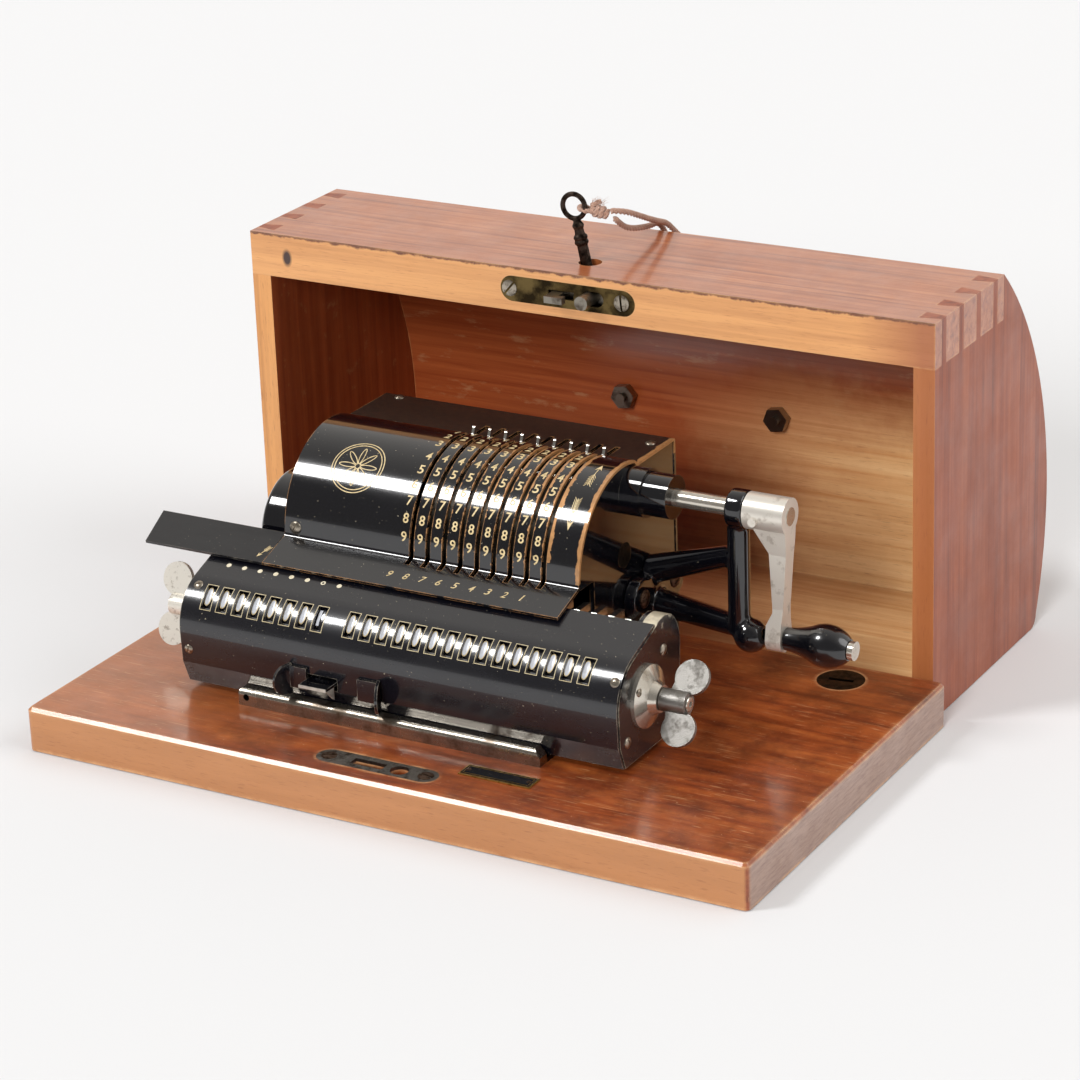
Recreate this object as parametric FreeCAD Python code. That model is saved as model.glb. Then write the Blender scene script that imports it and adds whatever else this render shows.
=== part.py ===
import FreeCAD, Part
import math
import os

# Pinwheel calculator on its wooden board, with the case cover stood behind it.
# X runs along the carriage, Y from front to back, Z up. The origin is the centre of the board's underside.
# A direction in a YZ section is the angle up from the front horizontal: 0 is front, 90 is up, 180 is back.

os.makedirs("parts", exist_ok=True)
V = FreeCAD.Vector
X_AXIS = V(1, 0, 0)
Y_AXIS = V(0, 1, 0)
Z_AXIS = V(0, 0, 1)

# Clearances
RUN = 0.05
SLIDE = 0.3
AIR = 0.4

# Wooden board
BOARD_L = 370.0
BOARD_D = 203.8
BOARD_T = 21.4
BOARD_EDGE = 3.0
CATCH_X = (-140.5, 140.5)
CATCH_Y = 84.0
CATCH_R = 11.2

# Spacing of the decimal places, shared by levers, pinwheels, wheels and windows
PITCH = 8.6
COLUMNS = 9
RESULT_PLACES = 15
COUNTER_PLACES = 8
COLUMN_1_X = 37.5
SHIFT_NOW = 5
SHIFTS = 8

# Main axes in YZ
DRUM = (36.8, 86.2)
CRANK = (44.0, 115.3)
REGISTER = (-27.2, 51.0)

# Body shell
BODY_X0 = -100.0
BODY_X1 = 55.5
SIDE_T = 2.5
COVER_R = 43.6
COVER_T = 1.3
SKIRT_TIP = (-27.0, 80.0)
SKIRT_SLOPE = 17.8
SKIRT_BEND_R = 2.4
DECK_Z = 126.0
BACK_Y = 87.5
ARC_END = 105.0
FRAME_FRONT_Y = 8.0
FRAME_FRONT_Z = 84.4
TIE_AT = ((80.5, 40.0), (14.5, 36.0))
EXTENSION_X0 = -169.5

# Drum, pins and setting rings
STEP_DEG = 10.8
DRUM_SHAFT_R = 6.0
DISC_R = 35.4
DISC_T = 3.0
SHOULDER_R = 24.0
RING_R = 33.5
RING_T = 3.4
LEVER_TIP_R = 47.2
LEVER_T = 1.4
LEVER_W = 3.2
LEVER_REST = 111.0
LEVER_SLOT_W = 2.4
PIN_W = 2.2
PIN_T = 1.9
PIN_L = 10.5
FIRST_PIN = 15.0
DISC_OFFSET = 2.9
CARRY_DISCS = 5

# Registers
PIN_MESH_R = 38.44
REG_ADDENDUM = 1.57
REG_GEAR_T = 2.0
REG_GEAR_X = 4.3
WHEEL_R = 22.8
WHEEL_W = 5.4
DIGIT_FACE = 42.0
REG_SHAFT_R = 3.5
CARRY_PIVOT = (-14.5, 77.2)
CARRY_ARBOR_R = 1.5
WING_TURN_LEFT = -17.0
WING_TURN_RIGHT = -37.0

# Drive train from crank to drum
TRAIN_TEETH = 16
TRAIN_MODULE = 1.0
TRAIN_X0 = 46.6
TRAIN_T = 4.0
STUD_R = 2.5

# Carriage
CAR_X0 = -130.3
CAR_X1 = 98.8
CAR_Z0 = BOARD_T + 3.0
CAR_END_T = 9.0
CAR_WALL = 3.0
CAR_COVER_T = 1.2
CAR_FLOOR_T = 1.6
WINDOW_W = 5.2
WINDOW_Z0 = 62.6
WINDOW_Z1 = 71.2
CAR_FRONT = ((-48.5, CAR_Z0), (-52.7, CAR_Z0 + 11), (-53.3, 50.3))
CAR_CURVE = (-49.2, 64.6)
CAR_SHOULDER = (-37.2, 73.5)
CAR_REAR = (-16.9, 80.7)
CAR_INNER_CURVE = (-48.4, 63.8)
CAR_BACK_FOOT = -7.5
CENTRE_X0 = -50.3
CENTRE_X1 = -44.4
LATCH_X = -53.2
LATCH_Z = 40.0
LATCH_PIVOT = (-46.4, 31.0)
LATCH_TOOTH_Y = -41.4

# Rails
RAIL_X0 = -97.0
RAIL_X1 = 61.4
RAIL_H = 8.0
RAIL_T = 6.1
RAIL_ROUND = 3.0
RAIL_BACK_Y = -50.8
RACK_T = 2.3
RACK_D = 12.0
REAR_RAIL_Y = -3.6

# Crank
CRANK_SHAFT_R = 4.2
CRANK_THROW = 59.0
BOSS_X1 = 77.9
EYE_X0 = 105.9
EYE_X1 = 114.5
HUB_X1 = 134.8
HUB_R = 8.5
SPINDLE_R = 3.0
HANDLE_X0 = 132.7
HANDLE_L = 30.8
HANDLE_CAP_T = 2.6
GRIP_PROFILE = ((0.0, 5.3), (0.22, 6.3), (0.42, 8.4), (0.74, 9.7), (1.0, 4.9))
BRACKET_SCREWS = ((44.0, 63.0), (74.0, 62.0))
UPRIGHT_X = 109.2
UPRIGHT_R = 5.2
BALL_X = 114.9
BALL_R = 8.0

# Case cover, lying on its back wall with its mouth towards the front
CASE_X = -3.0
CASE_GAP = 0.6
CASE_Y = BOARD_D / 2 + CASE_GAP
CASE_L = 362.4
CASE_H = 192.5
CASE_FRONT_T = 21.7
CASE_FRONT_D = 78.3
CASE_BACK_T = 9.5
CASE_END_T = 10.4
CASE_ROOF_T = 9.0
CASE_ROOF_R = 167.3
CASE_ROOF_C = (-31.1, 66.2)
CASE_NOSE_R = 8.0
DOVETAILS = 4
HANDLE_SPACING = 86.0
HANDLE_UP = 87.0
EYE_R = 4.6
BAIL_R = 2.2
BAIL_DROP = 26.0
ROOF_LEAN = 0.95
EYE_OUT = 6.4

# Lock and strike
LOCK_X = CASE_X - 4.7
STRIKE_X = -4.7
STRIKE_Y = -85.6
LOCK_PLATE_L = 71.5
LOCK_PLATE_W = 12.5
LOCK_PLATE_T = 2.0
STRIKE_L = 61.7
STRIKE_T = 1.6
LOCK_CASE_D = 36.0
LOCK_CASE_L = 52.0
LOCK_CASE_H = 12.0
BOLT_THROW = 4.0
HOOK_DX = -4.5
PEG_DX = 11.5
PEG_R = 3.4
KEY_LEAN = 12.0
KEY_R = 2.7
BOW_R = 7.2
BOW_HOLE_R = 4.6
BOW_UP = 41.5
KEY_TIP_DROP = 3.4
KEYHOLE_Y = CASE_Y + 20.0

# Twine through the key's ring: the points of its route, in order from the knot and back to it
TWINE_R = 1.5
TWINE_SIDES = 6
TWINE_ROUTE = (
    (3.4, 127.6, 217.2),
    (6.3, 134.5, 215.6),
    (7.3, 145.0, 211.0),
    (7.2, 156.5, 206.0),
    (6.1, 168.0, 201.4),
    (4.9, 179.0, 197.6),
    (4.2, 187.5, 191.6),
    (6.0, 195.8, 183.5),
    (9.0, 204.4, 173.6),
    (11.5, 212.3, 162.9),
    (12.5, 219.1, 151.9),
    (12.0, 224.0, 143.3),
    (5.0, 228.0, 134.3),
    (-6.5, 228.0, 134.3),
    (-13.0, 224.0, 143.3),
    (-12.0, 219.1, 151.9),
    (-9.5, 212.3, 162.9),
    (-6.5, 204.4, 173.6),
    (-3.5, 195.8, 183.5),
    (-1.3, 187.5, 191.6),
    (0.2, 179.0, 197.4),
    (1.8, 169.0, 198.4),
    (2.2, 159.0, 200.3),
    (2.4, 149.0, 202.6),
    (2.0, 140.0, 206.2),
    (3.2, 131.2, 212.4),
)

# Values that follow from the sizes above
UNITS_SHIFT = SHIFT_NOW * PITCH
RESULT_X = COLUMN_1_X + UNITS_SHIFT
COUNTER_X = -56.8
LEFT_PLATE_X0 = BODY_X0 + 0.5
RIGHT_PLATE_X1 = BODY_X1 - 0.5
TRAIN_R = TRAIN_TEETH * TRAIN_MODULE / 2
HANDLE_Z = CRANK[1] - CRANK_THROW
INNER_R = COVER_R - COVER_T
PLATE_R = INNER_R - 0.2
BALL = (BALL_X, CRANK[0], HANDLE_Z - 1.6)
ARBOR_X0 = CAR_X0 + CAR_WALL
ARBOR_X1 = CAR_X1 - CAR_WALL
SLOT_FRONT_Y = DRUM[0] - LEVER_TIP_R - 1.2
SLOT_BACK_Y = DRUM[0] + math.sqrt(LEVER_TIP_R ** 2 - (DECK_Z - COVER_T - DRUM[1]) ** 2) + 1.2
CASE_X0 = CASE_X - CASE_L / 2
CASE_X1 = CASE_X + CASE_L / 2
CASE_INNER_X0 = CASE_X0 + CASE_END_T
CASE_INNER_X1 = CASE_X1 - CASE_END_T
LOCK_Z = CASE_H - CASE_FRONT_T / 2
LOCK_CASE_X = (LOCK_X - LOCK_CASE_L / 2, LOCK_X + LOCK_CASE_L / 2)
KEY_X = LOCK_X + 1.8


def polar(centre, angle, radius):
    """Point round a YZ centre, with the angle counted up from the front."""
    a = math.radians(angle)
    return (centre[0] - radius * math.cos(a), centre[1] + radius * math.sin(a))


def bearing_of(centre, point):
    """Angle of a point round a YZ centre, counted up from the front."""
    return math.degrees(math.atan2(point[1] - centre[1], centre[0] - point[0]))


HALF_TRAIN = math.hypot(CRANK[0] - DRUM[0], CRANK[1] - DRUM[1]) / 2
TRAIN_MID = ((CRANK[0] + DRUM[0]) / 2, (CRANK[1] + DRUM[1]) / 2)
TRAIN_SIDE = math.sqrt((2 * TRAIN_R) ** 2 - HALF_TRAIN ** 2)
TRAIN_IDLER = (
    TRAIN_MID[0] + TRAIN_SIDE * (CRANK[1] - DRUM[1]) / (2 * HALF_TRAIN),
    TRAIN_MID[1] - TRAIN_SIDE * (CRANK[0] - DRUM[0]) / (2 * HALF_TRAIN),
)


def save(name, *shapes):
    """Write one named piece, or one group of separate solids."""
    solids = []
    for shape in shapes:
        solids.extend(shape.Solids)
    result = solids[0] if len(solids) == 1 else Part.makeCompound(solids)
    result.exportStep("parts/" + name + ".step")


def box(x, y, z):
    """Box from three (low, high) pairs."""
    return Part.makeBox(x[1] - x[0], y[1] - y[0], z[1] - z[0], V(x[0], y[0], z[0]))


def rod_x(centre, radius, x0, x1):
    return Part.makeCylinder(radius, x1 - x0, V(x0, centre[0], centre[1]), X_AXIS)


def rod(radius, start, end):
    start = V(*start)
    run = V(*end) - start
    return Part.makeCylinder(radius, run.Length, start, run)


def taper(r0, r1, start, end):
    start = V(*start)
    run = V(*end) - start
    return Part.makeCone(r0, r1, run.Length, start, run)


def tube_x(centre, outer, inner, x0, x1):
    return rod_x(centre, outer, x0, x1).cut(rod_x(centre, inner, x0 - 1, x1 + 1))


def outline(start, *steps):
    """Closed YZ face: a two-number step is a line, a four-number step an arc through its first point."""
    here = start
    edges = []
    for step in steps + (start,):
        end = step[-2:]
        if len(step) == 4:
            edges.append(Part.Arc(V(0, *here), V(0, *step[:2]), V(0, *end)).toShape())
        elif math.dist(here, end) > 1e-6:
            edges.append(Part.LineSegment(V(0, *here), V(0, *end)).toShape())
        here = end
    return Part.Face(Part.Wire(edges))


def prism_x(face, x0, x1):
    return face.translated(V(x0, 0, 0)).extrude(V(x1 - x0, 0, 0))


def polygon(points, run):
    """Prism of a flat polygon given as 3-D points, extruded along run."""
    ring = [V(*p) for p in points]
    return Part.Face(Part.makePolygon(ring + [ring[0]])).extrude(run)


def turned(shape, centre, angle):
    """Copy of a shape built pointing up from a YZ centre, turned to point along an angle."""
    result = shape.copy()
    result.rotate(V(0, *centre), X_AXIS, 90 - angle)
    return result


def moved(shape, x=0.0, y=0.0, z=0.0):
    result = shape.copy()
    result.translate(V(x, y, z))
    return result


def rounded(shape, radius, keep):
    """Fillet the edges that keep picks."""
    return shape.makeFillet(radius, [edge for edge in shape.Edges if keep(edge)])


def fuse(*shapes):
    return shapes[0].multiFuse(list(shapes[1:])).removeSplitter()


def cut(shape, *tools):
    for tool in tools:
        shape = shape.cut(tool)
    return shape


def stadium(centre, length, width, z0, z1):
    """Flat plate with round ends, long in X."""
    half = (length - width) / 2
    body = box((centre[0] - half, centre[0] + half), (centre[1] - width / 2, centre[1] + width / 2), (z0, z1))
    left = Part.makeCylinder(width / 2, z1 - z0, V(centre[0] - half, centre[1], z0))
    right = Part.makeCylinder(width / 2, z1 - z0, V(centre[0] + half, centre[1], z0))
    return fuse(body, left, right)


def mitred_rod(radius, points):
    """Round rod through points, mitred at the corners."""
    wire = Part.makePolygon([V(*p) for p in points])
    start = wire.Vertexes[0].Point
    ring = Part.Wire(Part.makeCircle(radius, start, V(*points[1]) - start))
    return wire.makePipeShell([ring], True, False, 1)


def gear(centre, teeth, tip_r, root_r, x0, x1, phase):
    """Slim pointed-tooth gear with a tooth along phase."""
    points = []
    step = 360.0 / teeth
    for tooth in range(teeth):
        middle = phase + tooth * step
        points.append((x0,) + polar(centre, middle - step / 2, root_r))
        points.append((x0,) + polar(centre, middle, tip_r))
    return polygon(points, V(x1 - x0, 0, 0))


def column_x(column):
    return COLUMN_1_X - (column - 1) * PITCH


def result_x(place):
    return RESULT_X - (place - 1) * PITCH


def counter_x(place):
    return COUNTER_X - (place - 1) * PITCH


# Board

def board():
    body = box((-BOARD_L / 2, BOARD_L / 2), (-BOARD_D / 2, BOARD_D / 2), (0, BOARD_T))
    body = rounded(body, BOARD_EDGE, lambda e: abs(e.Length - BOARD_T) < 0.01)
    top = [edge for edge in body.Edges if min(v.Z for v in edge.Vertexes) > BOARD_T - 0.01]
    body = body.makeChamfer(BOARD_EDGE * 0.5, top)
    strike_seat = stadium((STRIKE_X, STRIKE_Y), STRIKE_L, LOCK_PLATE_W, BOARD_T - STRIKE_T, BOARD_T + 1)
    body = cut(body, strike_seat, *strike_holes(BOARD_T - 13.0, BOARD_T))
    for x in CATCH_X:
        seat = Part.makeCylinder(CATCH_R, 2, V(x, CATCH_Y, BOARD_T - STRIKE_T))
        body = cut(body, seat, catch_slot(x, BOARD_T - 11.0, BOARD_T))
    return body


def strike_holes(z0, z1):
    """Mouths for the lock's hook and peg."""
    x = STRIKE_X + HOOK_DX
    slot = box((x - 8.2, x + 8.2), (STRIKE_Y - 2.7, STRIKE_Y + 2.7), (z0, z1))
    hole = Part.makeCylinder(PEG_R + 0.9, z1 - z0, V(STRIKE_X + PEG_DX, STRIKE_Y, z0))
    return slot, hole


def catch_slot(x, z0, z1):
    slot = box((x - 6.0, x + 6.0), (CATCH_Y - 1.2, CATCH_Y + 1.2), (z0, z1))
    slot.rotate(V(x, CATCH_Y, 0), Z_AXIS, 8.0 if x > 0 else -8.0)
    return slot


def board_plates():
    """Strike plate with its two mouths, and the two slotted catch discs at the back."""
    strike = stadium((STRIKE_X, STRIKE_Y), STRIKE_L, LOCK_PLATE_W, BOARD_T - STRIKE_T, BOARD_T)
    strike = cut(strike, *strike_holes(BOARD_T - 3, BOARD_T + 1))
    discs = []
    for x in CATCH_X:
        disc = Part.makeCylinder(CATCH_R, STRIKE_T, V(x, CATCH_Y, BOARD_T - STRIKE_T))
        disc = disc.cut(catch_slot(x, BOARD_T - 3, BOARD_T + 1))
        discs.append(disc)
    return [strike] + discs


# Fixed frame of the machine

def skirt_bend():
    """Points of the hollow bend where the arc runs out into the sloping skirt."""
    slope = math.radians(SKIRT_SLOPE)
    along = (math.cos(slope), math.sin(slope))
    up = (-math.sin(slope), math.cos(slope))
    reach = COVER_R + SKIRT_BEND_R
    foot = (SKIRT_TIP[0] + up[0] * SKIRT_BEND_R, SKIRT_TIP[1] + up[1] * SKIRT_BEND_R)
    dy = foot[0] - DRUM[0]
    dz = foot[1] - DRUM[1]
    half = dy * along[0] + dz * along[1]
    run = -half - math.sqrt(half * half - (dy * dy + dz * dz - reach * reach))
    centre = (foot[0] + along[0] * run, foot[1] + along[1] * run)
    return centre, along, up, run


def cover_section():
    """Skirt, bend, arc over the drum and flat deck as one bent sheet."""
    centre, along, up, run = skirt_bend()
    flat_end = (SKIRT_TIP[0] + along[0] * run, SKIRT_TIP[1] + along[1] * run)
    low_end = (flat_end[0] - up[0] * COVER_T, flat_end[1] - up[1] * COVER_T)
    low_tip = (SKIRT_TIP[0] - up[0] * COVER_T, SKIRT_TIP[1] - up[1] * COVER_T)
    start = bearing_of(DRUM, centre)
    bend_mid = bearing_of(centre, ((flat_end[0] + DRUM[0]) / 2, flat_end[1] - 8.0))
    middle = (start + ARC_END) / 2
    crest = polar(DRUM, ARC_END, COVER_R)
    crest_low = polar(DRUM, ARC_END, INNER_R)
    under = DECK_Z - COVER_T
    step_y = crest[0] + 2.6
    return outline(
        SKIRT_TIP,
        flat_end,
        polar(centre, bend_mid, SKIRT_BEND_R) + polar(DRUM, start, COVER_R),
        polar(DRUM, middle, COVER_R) + crest,
        (step_y, DECK_Z),
        (BACK_Y - 1.5, DECK_Z),
        (BACK_Y - 0.45, DECK_Z - 0.45, BACK_Y, DECK_Z - 1.5),
        (BACK_Y, under - 6.0),
        (BACK_Y - COVER_T, under - 6.0),
        (BACK_Y - COVER_T, under),
        (step_y - 0.6, under),
        crest_low,
        polar(DRUM, middle, INNER_R) + polar(DRUM, start, INNER_R),
        polar(centre, bend_mid, SKIRT_BEND_R + COVER_T) + low_end,
        low_tip,
    )


def body_cover():
    cover = prism_x(cover_section(), BODY_X0, BODY_X1)
    half = LEVER_SLOT_W / 2
    for column in range(1, COLUMNS + 1):
        x = column_x(column)
        cover = cover.cut(box((x - half, x + half), (SLOT_FRONT_Y, SLOT_BACK_Y), (SKIRT_TIP[1], DECK_Z + 9)))
    return cover


def side_section():
    """Outline of a side plate, just inside the cover."""
    top = DECK_Z - COVER_T - 0.1
    start = bearing_of(DRUM, polar(DRUM, 0.5, PLATE_R))
    crest = polar(DRUM, ARC_END - 2.0, PLATE_R)
    back = BACK_Y - COVER_T - 0.1
    return outline(
        (FRAME_FRONT_Y, BOARD_T),
        (FRAME_FRONT_Y, FRAME_FRONT_Z),
        (polar(DRUM, start, PLATE_R)[0], FRAME_FRONT_Z),
        polar(DRUM, start, PLATE_R),
        polar(DRUM, ARC_END / 2, PLATE_R) + crest,
        (crest[0] + 2.0, top),
        (back, top),
        (back, BOARD_T),
    )


def side_plate_right():
    plate = prism_x(side_section(), RIGHT_PLATE_X1 - SIDE_T, RIGHT_PLATE_X1)
    x0 = RIGHT_PLATE_X1 - SIDE_T - 1
    plate = plate.cut(rod_x(DRUM, DRUM_SHAFT_R + RUN, x0, BODY_X1))
    plate = plate.cut(rod_x(CRANK, CRANK_SHAFT_R + RUN, x0, BODY_X1))
    stud = rod_x(TRAIN_IDLER, STUD_R, TRAIN_X0 - 0.6, RIGHT_PLATE_X1 - SIDE_T)
    return fuse(plate, stud)


def side_plate_left():
    plate = prism_x(side_section(), LEFT_PLATE_X0, LEFT_PLATE_X0 + SIDE_T)
    return plate.cut(rod_x(DRUM, DRUM_SHAFT_R + RUN, LEFT_PLATE_X0 - 1, LEFT_PLATE_X0 + SIDE_T + 1))


def tie_rods():
    x0 = LEFT_PLATE_X0 + SIDE_T
    x1 = RIGHT_PLATE_X1 - SIDE_T
    return [rod_x(at, 3.0, x0, x1) for at in TIE_AT]


def machine_bed():
    """Cast floor between the side plates, with a raised rim."""
    x0 = LEFT_PLATE_X0 + SIDE_T
    x1 = RIGHT_PLATE_X1 - SIDE_T
    y1 = BACK_Y - COVER_T - 0.1
    bed = box((x0, x1), (FRAME_FRONT_Y, y1), (BOARD_T, BOARD_T + 9))
    return bed.cut(box((x0 + 4, x1 - 4), (FRAME_FRONT_Y + 4, y1 - 4), (BOARD_T + 3, BOARD_T + 10)))


def back_cover():
    """Closing sheet behind the drum, under the deck's turned edge."""
    z1 = DECK_Z - COVER_T - 6.2
    return box((BODY_X0, BODY_X1), (BACK_Y - COVER_T, BACK_Y), (BOARD_T + 2.0, z1))


def left_housing():
    """Cast end cover over the drum's left bearing, open towards the side plate and the carriage."""
    x0 = BODY_X0 - 16.5
    x1 = LEFT_PLATE_X0
    lip = (-3.0, 84.6)
    shell = prism_x(outline(
        lip,
        (lip[0], 88.0),
        (5.5, 100.6, 24.0, 106.5),
        (52.0, 106.5),
        (57.7, 104.2, 60.0, 98.5),
        (60.0, BOARD_T),
        (FRAME_FRONT_Y, BOARD_T),
        (FRAME_FRONT_Y, lip[1]),
    ), x0, x1)
    shell = rounded(shell, 3.0, lambda e: max(v.X for v in e.Vertexes) < x0 + 0.1
                    and min(v.Z for v in e.Vertexes) > 86.0)
    hollow = prism_x(outline(
        (lip[0] + 2.5, 84.0),
        (lip[0] + 2.5, 87.5),
        (7.3, 98.6, 24.3, 104.0),
        (52.0, 104.0),
        (56.0, 102.4, 57.5, 98.5),
        (57.5, BOARD_T + 3.0),
        (FRAME_FRONT_Y + 2.5, BOARD_T + 3.0),
        (FRAME_FRONT_Y + 2.5, 84.0),
    ), x0 + 2.5, x1 + 1)
    return shell.cut(hollow)


def extension_plate():
    """Flat plate that carries the skirt's line out over the left end of the carriage."""
    slope = math.radians(SKIRT_SLOPE)
    depth = 22.6
    x1 = BODY_X0 - SLIDE
    tip = SKIRT_TIP
    back = (tip[0] + depth * math.cos(slope), tip[1] + depth * math.sin(slope))
    low = (math.sin(slope) * COVER_T, -math.cos(slope) * COVER_T)
    section = outline(tip, back, (back[0] + low[0], back[1] + low[1]), (tip[0] + low[0], tip[1] + low[1]))
    plate = prism_x(section, EXTENSION_X0, x1)
    corner = polygon([
        (EXTENSION_X0 - 1, back[0] + 1, 70),
        (EXTENSION_X0 - 1, tip[0] - 1, 70),
        (EXTENSION_X0 + 4.5, tip[0] - 1, 70),
        (EXTENSION_X0, back[0] + 1, 70),
    ], V(0, 0, 30))
    tab = box((BODY_X0 - 15, x1), (-9.0, 12.0), (83.2, 84.4))
    return fuse(plate.cut(corner), tab.cut(box((BODY_X0 - 16, x1 + 1), (FRAME_FRONT_Y, 13), (80, 90))))


def crank_boss():
    step = 10.0
    outer = fuse(
        rod_x(CRANK, 11.4, RIGHT_PLATE_X1, RIGHT_PLATE_X1 + step),
        rod_x(CRANK, 10.2, RIGHT_PLATE_X1 + step, BOSS_X1),
    )
    return outer.cut(rod_x(CRANK, CRANK_SHAFT_R + RUN, 50, BOSS_X1 + 1))


def crank_bracket():
    """Cast outrigger: foot, two arms, upright, outer bearing eye and locating ball."""
    x0 = RIGHT_PLATE_X1
    up_y = CRANK[0]
    pads = [rod_x(at, 10.0, x0, x0 + 6.0) for at in BRACKET_SCREWS]
    low_z = BRACKET_SCREWS[0][1] - 10.0
    foot = box((x0, x0 + 6), (BRACKET_SCREWS[0][0], BRACKET_SCREWS[1][0]), (low_z, low_z + 19.0))
    arms = [
        taper(7.0, 4.8, (x0 + 1.0, 60.0, 71.0), (UPRIGHT_X, up_y, 93.0)),
        taper(6.6, 5.0, (x0 + 1.0, 60.0, 56.0), (UPRIGHT_X, up_y, 58.0)),
        rod(UPRIGHT_R, (UPRIGHT_X, up_y, HANDLE_Z - 1.6), (UPRIGHT_X, up_y, CRANK[1] - 5)),
        Part.makeSphere(BALL_R, V(*BALL), Y_AXIS),
    ]
    eye = rod_x(CRANK, 9.0, EYE_X0, EYE_X1)
    casting = fuse(foot, *pads, *arms, eye)
    casting = casting.cut(box((x0 - 20, x0), (20, 100), (30, 100)))
    casting = casting.cut(rod_x(CRANK, CRANK_SHAFT_R + RUN, EYE_X0 - 1, EYE_X1 + 1))
    return casting.cut(rod_x((up_y, HANDLE_Z), 2.4, BALL[0] + 2.0, BALL[0] + 12.0))


def carriage_rail():
    """Front rail with its notched foot, on which the carriage is shifted place by place."""
    front = RAIL_BACK_Y - RAIL_T
    top = BOARD_T + RAIL_H
    bar = prism_x(outline(
        (front, BOARD_T),
        (front, top - RAIL_ROUND),
        (front + 0.3 * RAIL_ROUND, top - 0.3 * RAIL_ROUND, front + RAIL_ROUND, top),
        (RAIL_BACK_Y, top),
        (RAIL_BACK_Y, BOARD_T),
    ), RAIL_X0, RAIL_X1)
    bar = bar.cut(polygon([
        (RAIL_X1 - 4.0, front - 1, top + 1),
        (RAIL_X1 + 1.0, front - 1, top + 1),
        (RAIL_X1 + 1.0, front - 1, BOARD_T + 3.0),
    ], V(0, RAIL_T + 2, 0)))
    bar = bar.cut(polygon([
        (RAIL_X0 - 1.0, front - 1, top + 1),
        (RAIL_X0 + 2.0, front - 1, top + 1),
        (RAIL_X0 - 1.0, front - 1, top - 2.0),
    ], V(0, RAIL_T + 2, 0)))
    hole = (RAIL_X0 + 4.2, BOARD_T + 4.2)
    bar = bar.cut(rod(1.6, (hole[0], front - 1, hole[1]), (hole[0], RAIL_BACK_Y + 1, hole[1])))
    foot = box((RAIL_X0, RAIL_X1), (RAIL_BACK_Y - 0.5, RAIL_BACK_Y + RACK_D), (BOARD_T, BOARD_T + RACK_T))
    for shift in range(SHIFTS):
        x = LATCH_X + (shift - SHIFT_NOW) * PITCH
        notch_y = (RAIL_BACK_Y + 6, RAIL_BACK_Y + RACK_D + 1)
        foot = foot.cut(box((x - 1.6, x + 1.6), notch_y, (BOARD_T + 0.8, BOARD_T + 5)))
    return fuse(bar, foot)


def rear_rail():
    """Low bar that the carriage's back foot slides along and hooks over."""
    bar = box((RAIL_X0, RAIL_X1 - 6.0), (REAR_RAIL_Y, FRAME_FRONT_Y - 0.1), (BOARD_T, BOARD_T + 3.0))
    upright = box((RAIL_X0, RAIL_X1 - 6.0), (REAR_RAIL_Y, REAR_RAIL_Y + 4.0), (BOARD_T, BOARD_T + RAIL_H))
    return fuse(bar, upright)


# Drum with its pinwheels

def drum_shaft():
    x1 = TRAIN_X0 + TRAIN_T
    shaft = rod_x(DRUM, DRUM_SHAFT_R, BODY_X0 - 8.0, RIGHT_PLATE_X1)
    phase = bearing_of(DRUM, TRAIN_IDLER)
    wheel = gear(DRUM, TRAIN_TEETH, TRAIN_R + 0.85, TRAIN_R - 1.15, TRAIN_X0, x1, phase)
    collar = rod_x(DRUM, 9.0, BODY_X0 - 8.0, BODY_X0 - 3.0)
    return fuse(shaft, wheel, collar)


def pinwheel(column):
    """Disc with nine radial grooves, and the shoulder that its setting ring turns on."""
    x = column_x(column) + DISC_OFFSET
    shoulder = rod_x(DRUM, SHOULDER_R, x - RING_T - 0.5, x)
    disc = rod_x(DRUM, DISC_R, x, x + DISC_T)
    half = PIN_W / 2 + RUN
    floor = DISC_R - PIN_L - 0.6
    groove = box(
        (x - 0.5, x + 0.3 + PIN_T + RUN),
        (DRUM[0] - half, DRUM[0] + half),
        (DRUM[1] + floor, DRUM[1] + DISC_R + 1),
    )
    disc = cut(disc, *[turned(groove, DRUM, pin_angle(pin)) for pin in range(9)])
    return fuse(shoulder, disc).cut(rod_x(DRUM, DRUM_SHAFT_R, x - 9, x + 9))


def pin_angle(pin):
    return FIRST_PIN + pin * STEP_DEG


def drive_pins():
    """The nine pins of each pinwheel, all drawn in as at a setting of nought."""
    pins = []
    for column in range(1, COLUMNS + 1):
        x = column_x(column) + DISC_OFFSET + 0.3
        top = DRUM[1] + DISC_R - 0.2
        pin = box((x, x + PIN_T), (DRUM[0] - PIN_W / 2, DRUM[0] + PIN_W / 2), (top - PIN_L, top))
        pins.extend(turned(pin, DRUM, pin_angle(index)) for index in range(9))
    return pins


def setting_ring(column):
    """Ring beside one pinwheel, with the lever that stands out through the cover."""
    x = column_x(column)
    x1 = x + DISC_OFFSET - 0.25
    ring = tube_x(DRUM, RING_R, SHOULDER_R + RUN, x1 - RING_T + 0.25, x1)
    root = DRUM[1] + RING_R - 1.0
    tip = DRUM[1] + LEVER_TIP_R
    y = DRUM[0]
    half = LEVER_W / 2
    blade = outline(
        (y - half, root),
        (y - half * 0.7, tip - half),
        (y, tip, y + half * 0.7, tip - half),
        (y + half, root),
    )
    lever = prism_x(blade, x - LEVER_T / 2, x + LEVER_T / 2)
    return fuse(ring, turned(lever, DRUM, LEVER_REST))


def carry_discs():
    """Carry wheels left of the pinwheels."""
    discs = []
    for index in range(CARRY_DISCS):
        x = column_x(COLUMNS + 1 + index) + DISC_OFFSET
        discs.append(tube_x(DRUM, RING_R, DRUM_SHAFT_R, x, x + DISC_T))
    return discs


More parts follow.
